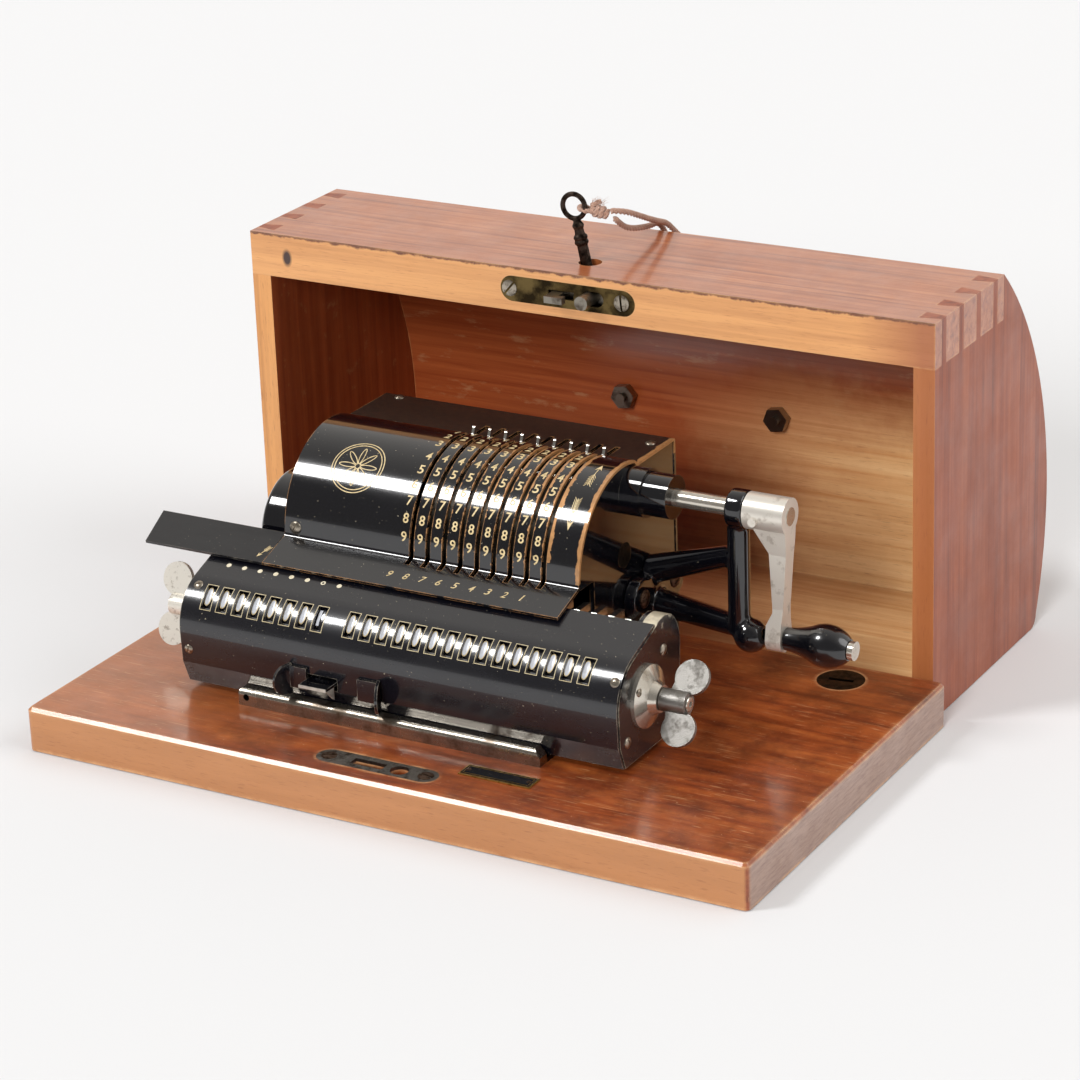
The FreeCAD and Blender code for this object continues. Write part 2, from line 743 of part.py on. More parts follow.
def counter_finger():
    """Single finger that turns the counter once in each turn of the drum."""
    x = counter_x(1 + SHIFT_NOW) + REG_GEAR_X - REG_GEAR_T / 2
    hub = rod_x(DRUM, 11.0, x, x + 5.0)
    reach = PIN_MESH_R - REG_ADDENDUM - AIR
    arm = box((x, x + REG_GEAR_T), (DRUM[0] - 2.4, DRUM[0] + 2.4), (DRUM[1] + 8, DRUM[1] + reach))
    finger = fuse(hub, turned(arm, DRUM, 140.0))
    return finger.cut(rod_x(DRUM, DRUM_SHAFT_R, x - 9, x + 9))


def train_idler():
    phase = bearing_of(TRAIN_IDLER, DRUM) + 180.0 / TRAIN_TEETH
    x1 = TRAIN_X0 + TRAIN_T
    wheel = gear(TRAIN_IDLER, TRAIN_TEETH, TRAIN_R + 0.85, TRAIN_R - 1.15, TRAIN_X0, x1, phase)
    return wheel.cut(rod_x(TRAIN_IDLER, STUD_R + RUN, TRAIN_X0 - 1, x1 + 1))


def train_crank_phase():
    """Phase that puts a gap of the crank gear on the idler's tooth."""
    idler_phase = bearing_of(TRAIN_IDLER, DRUM) + 180.0 / TRAIN_TEETH
    line = bearing_of(TRAIN_IDLER, CRANK)
    step = 360.0 / TRAIN_TEETH
    offset = (line - idler_phase) % step
    return line + 180.0 + offset + step / 2


# Crank

def crank_shaft():
    shaft = rod_x(CRANK, CRANK_SHAFT_R, TRAIN_X0, HUB_X1 + 0.4)
    x1 = TRAIN_X0 + TRAIN_T
    wheel = gear(CRANK, TRAIN_TEETH, TRAIN_R + 0.85, TRAIN_R - 1.15, TRAIN_X0, x1, train_crank_phase())
    return fuse(shaft, wheel)


def crank_arm():
    """Forged arm: round hub, a flat blade that narrows downwards, and an eye for the handle's spindle."""
    y = CRANK[0]
    z = CRANK[1]
    low = HANDLE_Z
    x_in = BALL[0] + BALL_R + 1.9
    x_out = HANDLE_X0 - 0.4
    front = polygon([
        (118.5, y - 10, z - 5), (121.5, y - 10, z - 10), (126.2, y - 10, z - 17.5), (127.6, y - 10, low + 13),
        (x_in, y - 10, low + 7), (x_in, y - 10, low - 9), (x_out, y - 10, low - 9), (x_out, y - 10, low + 8),
        (HUB_X1, y - 10, z - 14), (HUB_X1, y - 10, z - 5),
    ], V(0, 20, 0))
    side = prism_x(outline(
        (y - 6.0, z - 4),
        (y - 4.2, z - 18),
        (y - 3.9, low + 15),
        (y - 6.4, low),
        (y, low - 6.4, y + 6.4, low),
        (y + 3.9, low + 15),
        (y + 4.2, z - 18),
        (y + 6.0, z - 4),
    ), 110, 140)
    hub = rod_x(CRANK, HUB_R, EYE_X1 + 0.3, HUB_X1)
    bolt = rod(2.0, (120.5, y - HUB_R - 1.2, z - 2), (120.5, y - HUB_R + 2, z - 2))
    arm = fuse(hub, front.common(side), bolt)
    arm = arm.cut(rod_x(CRANK, CRANK_SHAFT_R, EYE_X1 - 1, HUB_X1 + 1))
    return arm.cut(rod_x((y, low), SPINDLE_R + RUN, x_in - 1, HANDLE_X0))


def handle_spindle():
    """Sprung spindle: its nose points at the locating ball, and its cap holds the grip."""
    at = (CRANK[0], HANDLE_Z)
    shoulder = BALL[0] + BALL_R + 1.9
    end = HANDLE_X0 + HANDLE_L + 0.3
    nose = rod_x(at, 2.0, BALL[0] + BALL_R + 0.1, shoulder)
    stem = rod_x(at, SPINDLE_R, shoulder, end)
    return fuse(nose, stem, rod_x(at, 4.4, end, end + HANDLE_CAP_T))


def handle_grip():
    """Pear-shaped turned grip, free on the spindle."""
    y = CRANK[0]
    z = HANDLE_Z
    inner = SPINDLE_R + RUN
    at = [V(HANDLE_X0 + share * HANDLE_L, y, z + r) for share, r in GRIP_PROFILE]
    first = V(HANDLE_X0, y, z + inner)
    last = V(HANDLE_X0 + HANDLE_L, y, z + inner)
    wire = Part.Wire([
        Part.Arc(at[0], at[1], at[2]).toShape(),
        Part.Arc(at[2], at[3], at[4]).toShape(),
        Part.LineSegment(at[4], last).toShape(),
        Part.LineSegment(last, first).toShape(),
        Part.LineSegment(first, at[0]).toShape(),
    ])
    return Part.Face(wire).revolve(V(0, y, z), X_AXIS, 360)


# Carriage

def carriage_cover():
    """Bent sheet over the numeral wheels, with a row of windows and the latch's slot."""
    t = CAR_COVER_T
    sheet = prism_x(outline(
        CAR_FRONT[0],
        CAR_FRONT[1],
        CAR_FRONT[2],
        CAR_CURVE + CAR_SHOULDER,
        CAR_REAR,
        (CAR_REAR[0] + 0.4, CAR_REAR[1] - t),
        (CAR_SHOULDER[0] + 0.4, CAR_SHOULDER[1] - t),
        CAR_INNER_CURVE + (CAR_FRONT[2][0] + t, CAR_FRONT[2][1]),
        (CAR_FRONT[1][0] + t, CAR_FRONT[1][1] - 0.2),
        (CAR_FRONT[0][0] + t, CAR_FRONT[0][1]),
    ), CAR_X0 + 0.4, CAR_X1 - 0.4)
    half = WINDOW_W / 2
    places = [result_x(place) for place in range(1, RESULT_PLACES + 1)]
    places += [counter_x(place) for place in range(1, COUNTER_PLACES + 1)]
    holes = [box((x - half, x + half), (-60, -38), (WINDOW_Z0, WINDOW_Z1)) for x in places]
    latch_hole = box((LATCH_X - 8.0, LATCH_X + 8.0), (-60, -45), (LATCH_Z - 4.2, LATCH_Z + 2.0))
    return cut(sheet, *holes, latch_hole)


def end_section(inset):
    """Outline of a carriage end, inside the cover and rising in a hump behind it."""
    i = inset
    under = CAR_COVER_T + 0.1 + i
    curve = (CAR_INNER_CURVE[0] + 0.15 + i, CAR_INNER_CURVE[1] - i)
    return outline(
        (CAR_FRONT[0][0] + under, CAR_Z0 + i),
        (CAR_FRONT[1][0] + under, CAR_FRONT[1][1] - 0.2),
        (CAR_FRONT[2][0] + under, CAR_FRONT[2][1]),
        curve + (CAR_SHOULDER[0] + 0.5 + i, CAR_SHOULDER[1] - under),
        (CAR_REAR[0] + 0.5, CAR_REAR[1] - under),
        (-14.5, 80.6 - i),
        (-8.0, 81.6 - i, -1.8, 80.0 - i),
        (4.2 - i, 72.0, 5.6 - i, 61.0),
        (5.3 - i, 54.0),
        (CAR_BACK_FOOT - i, CAR_Z0 + i),
    )


def carriage_end(left):
    """Cast end plate, bored for the clearing shaft and the carry levers' arbor."""
    x0, x1 = (CAR_X0, CAR_X0 + CAR_END_T) if left else (CAR_X1 - CAR_END_T, CAR_X1)
    end = prism_x(end_section(0.0), x0, x1).cut(rod_x(REGISTER, REG_SHAFT_R + RUN, x0 - 1, x1 + 1))
    blind = (x0 + CAR_WALL, x1 + 1) if left else (x0 - 1, x1 - CAR_WALL)
    return end.cut(rod_x(CARRY_PIVOT, CARRY_ARBOR_R, *blind))


def carriage_floor():
    """Floor of the carriage with its back foot and the bearing wall between the two registers."""
    x0 = CAR_X0 + CAR_END_T
    x1 = CAR_X1 - CAR_END_T
    back = REAR_RAIL_Y - SLIDE
    over = BOARD_T + RAIL_H
    floor = box((x0, x1), (CAR_FRONT[0][0] + CAR_COVER_T + 0.1, back), (CAR_Z0, CAR_Z0 + CAR_FLOOR_T))
    foot = box((x0, x1), (back - 3.5, back), (CAR_Z0, over + 2.4))
    lip = box((x0, x1), (back - 3.5, REAR_RAIL_Y + 4.0), (over + SLIDE, over + 2.4))
    wall = prism_x(outline(
        (-43.0, CAR_Z0),
        (-43.6, 36.0),
        (-46.5, 50.0),
        (-42.0, 63.0, -35.0, 70.0),
        (-17.0, 79.0),
        (-14.0, 79.4),
        (-11.2, 77.5),
        (-4.5, 62.0),
        (-5.5, CAR_Z0),
    ), CENTRE_X0, CENTRE_X1)
    frame = fuse(floor, foot, lip, wall)
    frame = frame.cut(rod_x(REGISTER, REG_SHAFT_R + RUN, CENTRE_X0 - 1, CENTRE_X1 + 1))
    frame = frame.cut(rod_x(CARRY_PIVOT, CARRY_ARBOR_R, CENTRE_X0 - 1, CENTRE_X1 + 1))
    tooth_way = (LATCH_TOOTH_Y - 3.0, LATCH_TOOTH_Y + 2.5)
    return frame.cut(box((LATCH_X - 2, LATCH_X + 2), tooth_way, (CAR_Z0 - 1, CAR_Z0 + 3)))


def carry_arbor():
    """Fixed arbor of the carry levers."""
    return rod_x(CARRY_PIVOT, CARRY_ARBOR_R, ARBOR_X0, ARBOR_X1)


def shaft_flange(left):
    """Domed nickel bearing flange of a clearing shaft."""
    y, z = REGISTER
    bore = REG_SHAFT_R + RUN
    profile = ((0, bore), (0, 14.4), (1.8, 14.4), (4.8, 8.0), (8.2, 6.2), (8.2, bore))
    side = -1 if left else 1
    face = CAR_X0 if left else CAR_X1
    points = [V(face + side * x, y, z + r) for x, r in profile]
    wire = Part.makePolygon(points + [points[0]])
    return Part.Face(wire).revolve(V(0, y, z), X_AXIS, 360)


def finger_grips():
    """Two grips on the carriage front, each a flat foot with a flared D-shaped ear."""
    grips = []
    for x0, x1, side in ((-69.5, -60.6, -1), (-33.5, -22.6, 1)):
        face_y = CAR_FRONT[2][0]
        foot = box((x0, x1), (face_y - 1.4, face_y), (45.0 - 10.5, 45.0))
        edge = x0 if side < 0 else x1
        ear = prism_x(outline(
            (face_y, 31.0),
            (face_y - 5.2, 31.4),
            (face_y - 10.0, 38.2, face_y - 5.2, 45.4),
            (face_y, 46.0),
        ), edge - 0.7, edge + 0.7)
        ear.rotate(V(edge, face_y, 0), Z_AXIS, side * 22.0)
        ear = ear.cut(box((edge - 9, edge + 9), (face_y, face_y + 9), (20, 60)))
        grips.append(fuse(foot, ear))
    return grips


def carry_levers():
    """Tens-carry levers hooked over their arbor, their tips showing behind the cover."""
    y, z = CARRY_PIVOT
    r = CARRY_ARBOR_R + RUN
    section = outline(
        (y - 3.2, z - 3.0),
        (y - 3.2, z + 0.2),
        (y - 0.9, z + 2.9),
        (y + 8.6, z + 2.9),
        (y + 8.6, z - 0.6),
        (y + r, z - 0.6),
        (y + r, z + r),
        (y - r, z + r),
        (y - r, z - 3.0),
    )
    places = [result_x(place) + PITCH / 2 for place in range(1, RESULT_PLACES)]
    return [prism_x(section, x - 1.5, x + 1.5) for x in places]


def shift_latch():
    """Pressed tab with a gusset under it, and the tail whose tooth stands over the rail's notches."""
    py, pz = LATCH_PIVOT
    tab = box((LATCH_X - 7.2, LATCH_X + 7.2), (-61.5, py - 0.9), (LATCH_Z - 1.4, LATCH_Z))
    gusset_x = LATCH_X + 5.8
    gusset = polygon([
        (gusset_x, -60.5, LATCH_Z - 1.0), (gusset_x, -54.4, LATCH_Z - 1.0), (gusset_x, -54.4, LATCH_Z - 7.5),
    ], V(1.4, 0, 0))
    web = box((LATCH_X - 3.0, LATCH_X + 3.0), (py - 2.5, py - 0.9), (pz - 0.5, LATCH_Z - 0.4))
    barrel = rod_x(LATCH_PIVOT, 1.8, LATCH_X - 6.0, LATCH_X + 6.0)
    tail = box((LATCH_X - 1.2, LATCH_X + 1.2), (py, LATCH_TOOTH_Y), (pz - 1.6, pz + 0.2))
    tooth_low = BOARD_T + RACK_T + SLIDE
    tooth = box((LATCH_X - 1.2, LATCH_X + 1.2), (LATCH_TOOTH_Y - 2.0, LATCH_TOOTH_Y), (tooth_low, pz))
    return fuse(tab, gusset, web, barrel, tail, tooth)


def wheel(x):
    """Numeral wheel: ten flats, one to a digit, square-bored for its clearing shaft."""
    half = WHEEL_W / 2
    y, z = REGISTER
    flats = []
    for digit in range(10):
        flats.append((x - half,) + polar(REGISTER, DIGIT_FACE + 18.0 + 36.0 * digit, WHEEL_R))
    blank = polygon(flats, V(2 * half, 0, 0))
    return blank.cut(moved(square_core(x - half - 1, x + half + 1)))


def square_core(x0, x1):
    """Squared middle of a clearing shaft, turned with its wheels."""
    half = REG_SHAFT_R / math.sqrt(2)
    core = box((x0, x1), (REGISTER[0] - half, REGISTER[0] + half), (REGISTER[1] - half, REGISTER[1] + half))
    return turned(core, REGISTER, DIGIT_FACE + 45.0)


def wing_nut(left):
    """Round-lobed wing nut on the end of a clearing shaft."""
    face = CAR_X0 if left else CAR_X1
    side = -1 if left else 1
    y, z = REGISTER
    ends = sorted((face + side * 8.6, face + side * 21.0))
    parts = [rod_x(REGISTER, 5.2, *ends)]
    for flip in (1, -1):
        lobe_x = face + side * 19.6
        lobe = rod(8.0, (lobe_x, y - 1.1, z + flip * 11.8), (lobe_x, y + 1.1, z + flip * 11.8))
        neck = polygon([
            (face + side * 11.0, y - 1.1, z + flip * 3.5),
            (face + side * 21.0, y - 1.1, z + flip * 3.5),
            (face + side * 26.0, y - 1.1, z + flip * 8.0),
            (face + side * 12.6, y - 1.1, z + flip * 9.0),
        ], V(0, 2.2, 0))
        parts.extend((lobe, neck))
    nut = fuse(*parts)
    nut.rotate(V(0, y, z), X_AXIS, WING_TURN_LEFT if left else WING_TURN_RIGHT)
    return nut.cut(rod_x(REGISTER, REG_SHAFT_R, ends[0] - 1, ends[1] + 1))


def clearing_shaft(left):
    """Shaft of one register: round in its bearings and squared under its wheels."""
    places = COUNTER_PLACES if left else RESULT_PLACES
    x_of = counter_x if left else result_x
    core = (x_of(places) - WHEEL_W / 2 - 0.1, x_of(1) + WHEEL_W / 2 + 0.1)
    inner = (CENTRE_X0 + CENTRE_X1) / 2 + (-0.3 if left else 0.3)
    outer = CAR_X0 - 21.4 if left else CAR_X1 + 21.4
    near = core[1] if left else core[0]
    far = core[0] if left else core[1]
    return fuse(
        square_core(*core),
        rod_x(REGISTER, REG_SHAFT_R, *sorted((inner, near))),
        rod_x(REGISTER, REG_SHAFT_R, *sorted((far, outer))),
    )


# Case cover, in its own depth (y from the mouth) and height

def case_y(depth):
    return CASE_Y + depth


def roof_depth(height, radius):
    """Depth of the curved roof at a height."""
    return CASE_ROOF_C[0] + math.sqrt(radius ** 2 - (height - CASE_ROOF_C[1]) ** 2)


def roof_arc(radius, z0, z1):
    """Middle and end points of the roof's arc between two heights."""
    mid = (z0 + z1) / 2
    return (case_y(roof_depth(mid, radius)), mid, case_y(roof_depth(z1, radius)), z1)


def case_outline():
    """Full side view of the closed-up end of the case."""
    nose_z = CASE_NOSE_R * 0.75
    nose = case_y(roof_depth(nose_z, CASE_ROOF_R))
    flat = nose - CASE_NOSE_R
    top = CASE_H
    top_y = case_y(CASE_FRONT_D)
    return outline(
        (case_y(0), 0),
        (flat, 0),
        (nose - CASE_NOSE_R * 0.22, nose_z * 0.32, nose, nose_z),
        roof_arc(CASE_ROOF_R, nose_z, top),
        (min(top_y, case_y(roof_depth(top, CASE_ROOF_R))), top),
        (case_y(0), top),
    )


def dovetail_pins(x_in, x_out):
    """Pins of one end panel that pass up through the front wall."""
    pins = []
    gap = CASE_FRONT_D / DOVETAILS
    for index in range(DOVETAILS):
        middle = case_y(gap * (index + 0.5))
        pins.append(polygon([
            (x_in, middle - 4.5, CASE_H - CASE_FRONT_T), (x_out, middle - 2.6, CASE_H - CASE_FRONT_T),
            (x_out, middle + 2.6, CASE_H - CASE_FRONT_T), (x_in, middle + 4.5, CASE_H - CASE_FRONT_T),
        ], V(0, 0, CASE_FRONT_T)))
    return pins


def case_end(x_in, x_out):
    low = min(x_in, x_out)
    high = max(x_in, x_out)
    panel = prism_x(case_outline(), low, high)
    front = box((low - 1, high + 1), (case_y(-1), case_y(CASE_FRONT_D)), (CASE_H - CASE_FRONT_T, CASE_H + 1))
    return fuse(panel.cut(front), *dovetail_pins(x_in, x_out))


def case_front():
    """Thick front wall, mortised for the lock and bored for the key."""
    low = CASE_H - CASE_FRONT_T
    wall = box((CASE_X0, CASE_X1), (case_y(0), case_y(CASE_FRONT_D)), (low, CASE_H))
    wall = cut(wall, *dovetail_pins(CASE_INNER_X0, CASE_X0), *dovetail_pins(CASE_INNER_X1, CASE_X1))
    z = LOCK_Z
    seat = stadium((LOCK_X, 0), LOCK_PLATE_L, LOCK_PLATE_W, 0, LOCK_PLATE_T)
    seat.rotate(V(LOCK_X, 0, 0), X_AXIS, -90)
    seat.translate(V(0, CASE_Y, z))
    wall = wall.cut(seat)
    half = LOCK_CASE_H / 2
    mortise = box(LOCK_CASE_X, (CASE_Y, CASE_Y + LOCK_CASE_D), (z - half, z + half))
    keyhole = Part.makeCylinder(5.6, 20, V(KEY_X, KEYHOLE_Y, z))
    return cut(wall, mortise, keyhole)


def lock_body():
    """Lock: brass edge plate on a hollow steel case."""
    z = LOCK_Z
    plate = stadium((LOCK_X, 0), LOCK_PLATE_L, LOCK_PLATE_W, 0, LOCK_PLATE_T)
    plate.rotate(V(LOCK_X, 0, 0), X_AXIS, -90)
    plate.translate(V(0, CASE_Y, z))
    half = LOCK_CASE_H / 2
    shell = box(LOCK_CASE_X, (CASE_Y + LOCK_PLATE_T, CASE_Y + LOCK_CASE_D), (z - half, z + half))
    room = box(
        (LOCK_CASE_X[0] + 1.2, LOCK_CASE_X[1] - 1.2),
        (CASE_Y + LOCK_PLATE_T, CASE_Y + LOCK_CASE_D - 1.2),
        (z - half + 1.2, z + half - 1.2),
    )
    body = fuse(plate, shell).cut(room)
    slot = box((LOCK_X + HOOK_DX - 5.5, LOCK_X + HOOK_DX + 8.0), (CASE_Y - 1, CASE_Y + 5), (z - 2.0, z + 2.0))
    peg_x = LOCK_X + PEG_DX
    room_r = PEG_R + SLIDE
    peg = rod(room_r, (peg_x, CASE_Y - 1, z), (peg_x, CASE_Y + 5, z))
    peg_run = box((peg_x, peg_x + BOLT_THROW), (CASE_Y - 1, CASE_Y + 5), (z - room_r, z + room_r))
    keyhole = Part.makeCylinder(4.6, 10, V(KEY_X, KEYHOLE_Y, z))
    return cut(body, slot, peg, peg_run, moved(peg, x=BOLT_THROW), keyhole)


def lock_bolt():
    """Bolt with a hook and a round peg that stand out of the edge plate."""
    z = LOCK_Z
    y = CASE_Y + LOCK_PLATE_T + 3.0
    bar = box((LOCK_X - 16.0, LOCK_X + 18.0), (y, y + 6.0), (z - 4.0, z + 4.0))
    hook_x = LOCK_X + HOOK_DX
    shank = box((hook_x - 3.0, hook_x + 3.0), (CASE_Y - 9.0, y + 1.0), (z - 1.6, z + 1.6))
    barb = box((hook_x - 3.0, hook_x + 6.5), (CASE_Y - 9.0, CASE_Y - 5.5), (z - 1.6, z + 1.6))
    peg = rod(PEG_R, (LOCK_X + PEG_DX, CASE_Y - 8.0, z), (LOCK_X + PEG_DX, y + 1.0, z))
    return fuse(bar, shank, barb, peg)


def key():
    """Iron key: ring bow, collared stem and bit, leaning in the loose keyhole."""
    z_tip = LOCK_Z - KEY_TIP_DROP
    bow_z = z_tip + BOW_UP
    x, y = KEY_X, KEYHOLE_Y
    stem = rod(KEY_R, (x, y, z_tip), (x, y, bow_z - 5.0))
    bow = rod(BOW_R, (x, y - 1.4, bow_z), (x, y + 1.4, bow_z))
    bow = bow.cut(rod(BOW_HOLE_R, (x, y - 9, bow_z), (x, y + 9, bow_z)))
    collars = [Part.makeCylinder(3.6, 1.8, V(x, y, z)) for z in (bow_z - 9.5, bow_z - 22.0)]
    bit = box((x, x + 7.6), (y - 1.0, y + 1.0), (z_tip + 0.6, z_tip + 5.6))
    bit = bit.cut(box((x + 4.6, x + 6.2), (y - 2, y + 2), (z_tip - 1, z_tip + 3.0)))
    whole = fuse(stem, bow, *collars, bit)
    whole.rotate(V(x, y, LOCK_Z), Y_AXIS, -KEY_LEAN)
    return whole


def case_back():
    """Back wall, on which the case lies."""
    nose_z = CASE_NOSE_R * 0.75
    nose = case_y(roof_depth(nose_z, CASE_ROOF_R))
    top = CASE_BACK_T
    end_y = case_y(roof_depth(top, CASE_ROOF_R))
    return prism_x(outline(
        (case_y(0), 0),
        (nose - CASE_NOSE_R, 0),
        (nose - CASE_NOSE_R * 0.22, nose_z * 0.32, nose, nose_z),
        (end_y, top),
        (case_y(0), top),
    ), CASE_INNER_X0, CASE_INNER_X1)


def case_roof():
    """Bent roof panel between the end panels, bored for the handle's eye bolts."""
    z0 = CASE_BACK_T
    z1 = CASE_H
    inner_r = CASE_ROOF_R - CASE_ROOF_T
    joint_y = case_y(CASE_FRONT_D)
    inner_top = CASE_ROOF_C[1] + math.sqrt(inner_r ** 2 - (CASE_FRONT_D - CASE_ROOF_C[0]) ** 2)
    mid = (z0 + inner_top) / 2
    roof = prism_x(outline(
        (case_y(roof_depth(z0, CASE_ROOF_R)), z0),
        roof_arc(CASE_ROOF_R, z0, z1),
        (joint_y, z1),
        (joint_y, inner_top),
        (case_y(roof_depth(mid, inner_r)), mid, case_y(roof_depth(z0, inner_r)), z0),
    ), CASE_INNER_X0, CASE_INNER_X1)
    for x in handle_x():
        roof = roof.cut(rod(2.5, (x, case_y(100), HANDLE_UP), (x, case_y(150), HANDLE_UP)))
    return roof


def handle_x():
    return (CASE_X - HANDLE_SPACING / 2, CASE_X + HANDLE_SPACING / 2)


def case_hardware():
    """Eye bolts of the carrying handle, drawn up by hexagon nuts inside the case."""
    pieces = []
    outer = case_y(roof_depth(HANDLE_UP, CASE_ROOF_R))
    inner = case_y(roof_depth(HANDLE_UP, CASE_ROOF_R - CASE_ROOF_T))
    for x in handle_x():
        shank = rod(2.4, (x, inner - 7.5, HANDLE_UP), (x, outer + 2.5, HANDLE_UP))
        collar = rod(6.5, (x, outer + ROOF_LEAN, HANDLE_UP), (x, outer + ROOF_LEAN + 1.3, HANDLE_UP))
        eye = Part.makeCylinder(EYE_R, 6.0, V(x - 3.0, outer + EYE_OUT, HANDLE_UP), X_AXIS)
        nut = polygon([
            (x + 6.6 * math.cos(a), inner - ROOF_LEAN, HANDLE_UP + 6.6 * math.sin(a))
            for a in (math.radians(60 * k + 10) for k in range(6))
        ], V(0, -4.6, 0))
        bolt = fuse(shank, collar, eye, nut)
        pieces.append(bolt.cut(rod_x((outer + EYE_OUT, HANDLE_UP), BAIL_R + RUN, x - 7, x + 7)))
    return pieces


def case_handle():
    """Steel bail that hangs from the two eye bolts."""
    outer = case_y(roof_depth(HANDLE_UP, CASE_ROOF_R)) + EYE_OUT
    low = HANDLE_UP - BAIL_DROP
    x0, x1 = handle_x()
    reach = 9.5
    return mitred_rod(BAIL_R, [
        (x0 + 6.0, outer, HANDLE_UP),
        (x0 - reach, outer, HANDLE_UP),
        (x0 - reach, outer, low),
        (x1 + reach, outer, low),
        (x1 + reach, outer, HANDLE_UP),
        (x1 - 6.0, outer, HANDLE_UP),
    ])


def bow_centre():
    """Middle of the key's ring."""
    up = BOW_UP - KEY_TIP_DROP
    lean = math.radians(KEY_LEAN)
    return V(KEY_X - up * math.sin(lean), KEYHOLE_Y, LOCK_Z + up * math.cos(lean))


def smooth_route(points):
    """Straight runs joined by tangent arcs, each as large as its two runs allow."""
    ring = [V(*p) for p in points]
    edges = []
    radii = []
    here = ring[0]
    for before, corner, after in zip(ring, ring[1:], ring[2:]):
        back = before - corner
        ahead = after - corner
        reach = 0.45 * min(back.Length, ahead.Length)
        back.normalize()
        ahead.normalize()
        half_turn = (math.pi - back.getAngle(ahead)) / 2
        radius = reach / math.tan(half_turn)
        inward = back + ahead
        inward.normalize()
        first = corner + back * reach
        last = corner + ahead * reach
        middle = corner + inward * (radius / math.cos(half_turn) - radius)
        edges.append(Part.LineSegment(here, first).toShape())
        edges.append(Part.Arc(first, middle, last).toShape())
        radii.append(radius)
        here = last
    edges.append(Part.LineSegment(here, ring[-1]).toShape())
    return Part.Wire(edges), min(radii)


def twine():
    """Loop of twine from the key's knot, over the case's back edge, down the roof and back."""
    path, tightest = smooth_route(TWINE_ROUTE)
    start = V(*TWINE_ROUTE[0])
    run = (V(*TWINE_ROUTE[1]) - start).normalize()
    side = run.cross(Z_AXIS).normalize()
    up = side.cross(run)
    corners = []
    for index in range(TWINE_SIDES):
        angle = 2 * math.pi * index / TWINE_SIDES
        corners.append(start + side * (TWINE_R * math.cos(angle)) + up * (TWINE_R * math.sin(angle)))
    ring = Part.makePolygon(corners + [corners[0]])
    loop = path.makePipeShell([ring], True, False)
    area = TWINE_SIDES / 2 * TWINE_R ** 2 * math.sin(2 * math.pi / TWINE_SIDES)
    print("twine", round(path.Length, 1), "mm, tightest bend", round(tightest, 1),
          "volume share", round(loop.Volume / (area * path.Length), 3))
    return loop


def twine_knot():
    """Knot beside the key's ring, a short barrel between the ring and the twine's two ends."""
    centre = bow_centre()
    out = (V(*TWINE_ROUTE[0]) + V(*TWINE_ROUTE[-1])) * 0.5 - centre
    out.normalize()
    near = centre + out * (BOW_R + 0.6)
    middle = centre + out * (BOW_R + 5.4)
    far = centre + out * (BOW_R + 9.2)
    return fuse(taper(2.4, 3.8, near, middle), taper(3.8, 2.6, middle, far))


def main():
    save("base_board", board())
    save("board_plates", *board_plates())
    save("machine_bed", machine_bed())
    save("side_plate_right", side_plate_right())
    save("side_plate_left", side_plate_left())
    save("tie_rods", *tie_rods())
    save("body_cover", body_cover())
    save("back_cover", back_cover())
    save("left_housing", left_housing())
    save("extension_plate", extension_plate())
    save("crank_boss", crank_boss())
    save("crank_bracket", crank_bracket())
    save("carriage_rail", carriage_rail())
    save("rear_rail", rear_rail())
    save("drum_shaft", drum_shaft())
    save("pinwheels", *[pinwheel(column) for column in range(1, COLUMNS + 1)])
    save("drive_pins", *drive_pins())
    for column in range(1, COLUMNS + 1):
        save("setting_ring_%d" % column, setting_ring(column))
    save("carry_discs", *carry_discs())
    save("counter_finger", counter_finger())
    save("train_idler", train_idler())
    save("crank_shaft", crank_shaft())
    save("crank_arm", crank_arm())
    save("handle_spindle", handle_spindle())
    save("handle_grip", handle_grip())
    save("carriage_cover", carriage_cover())
    save("carriage_ends", carriage_end(True), carriage_end(False))
    save("carriage_floor", carriage_floor())
    save("carry_arbor", carry_arbor())
    save("shaft_flanges", shaft_flange(True), shaft_flange(False))
    save("finger_grips", *finger_grips())
    save("carry_levers", *carry_levers())
    save("shift_latch", shift_latch())
    save("result_wheels", *[wheel(result_x(p)) for p in range(1, RESULT_PLACES + 1)])
    save("result_wing_nut", clearing_shaft(False), wing_nut(False))
    save("counter_wheels", *[wheel(counter_x(p)) for p in range(1, COUNTER_PLACES + 1)])
    save("counter_wing_nut", clearing_shaft(True), wing_nut(True))
    save("case_front", case_front())
    save("case_back", case_back())
    save("case_roof", case_roof())
    save("case_ends", case_end(CASE_INNER_X0, CASE_X0), case_end(CASE_INNER_X1, CASE_X1))
    save("lock_body", lock_body())
    save("lock_bolt", lock_bolt())
    save("key", key())
    save("case_hardware", *case_hardware())
    save("case_handle", case_handle())
    save("twine", twine())
    save("twine_knot", twine_knot())


main()
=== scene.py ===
"""Looks of a hand-cranked pinwheel calculator on its board, with its arched wooden case behind."""

import logging
import math
import random
from collections.abc import Callable, Iterator
from contextlib import contextmanager
from dataclasses import dataclass, field
from enum import Enum

import bpy
from mathutils import Matrix, Vector

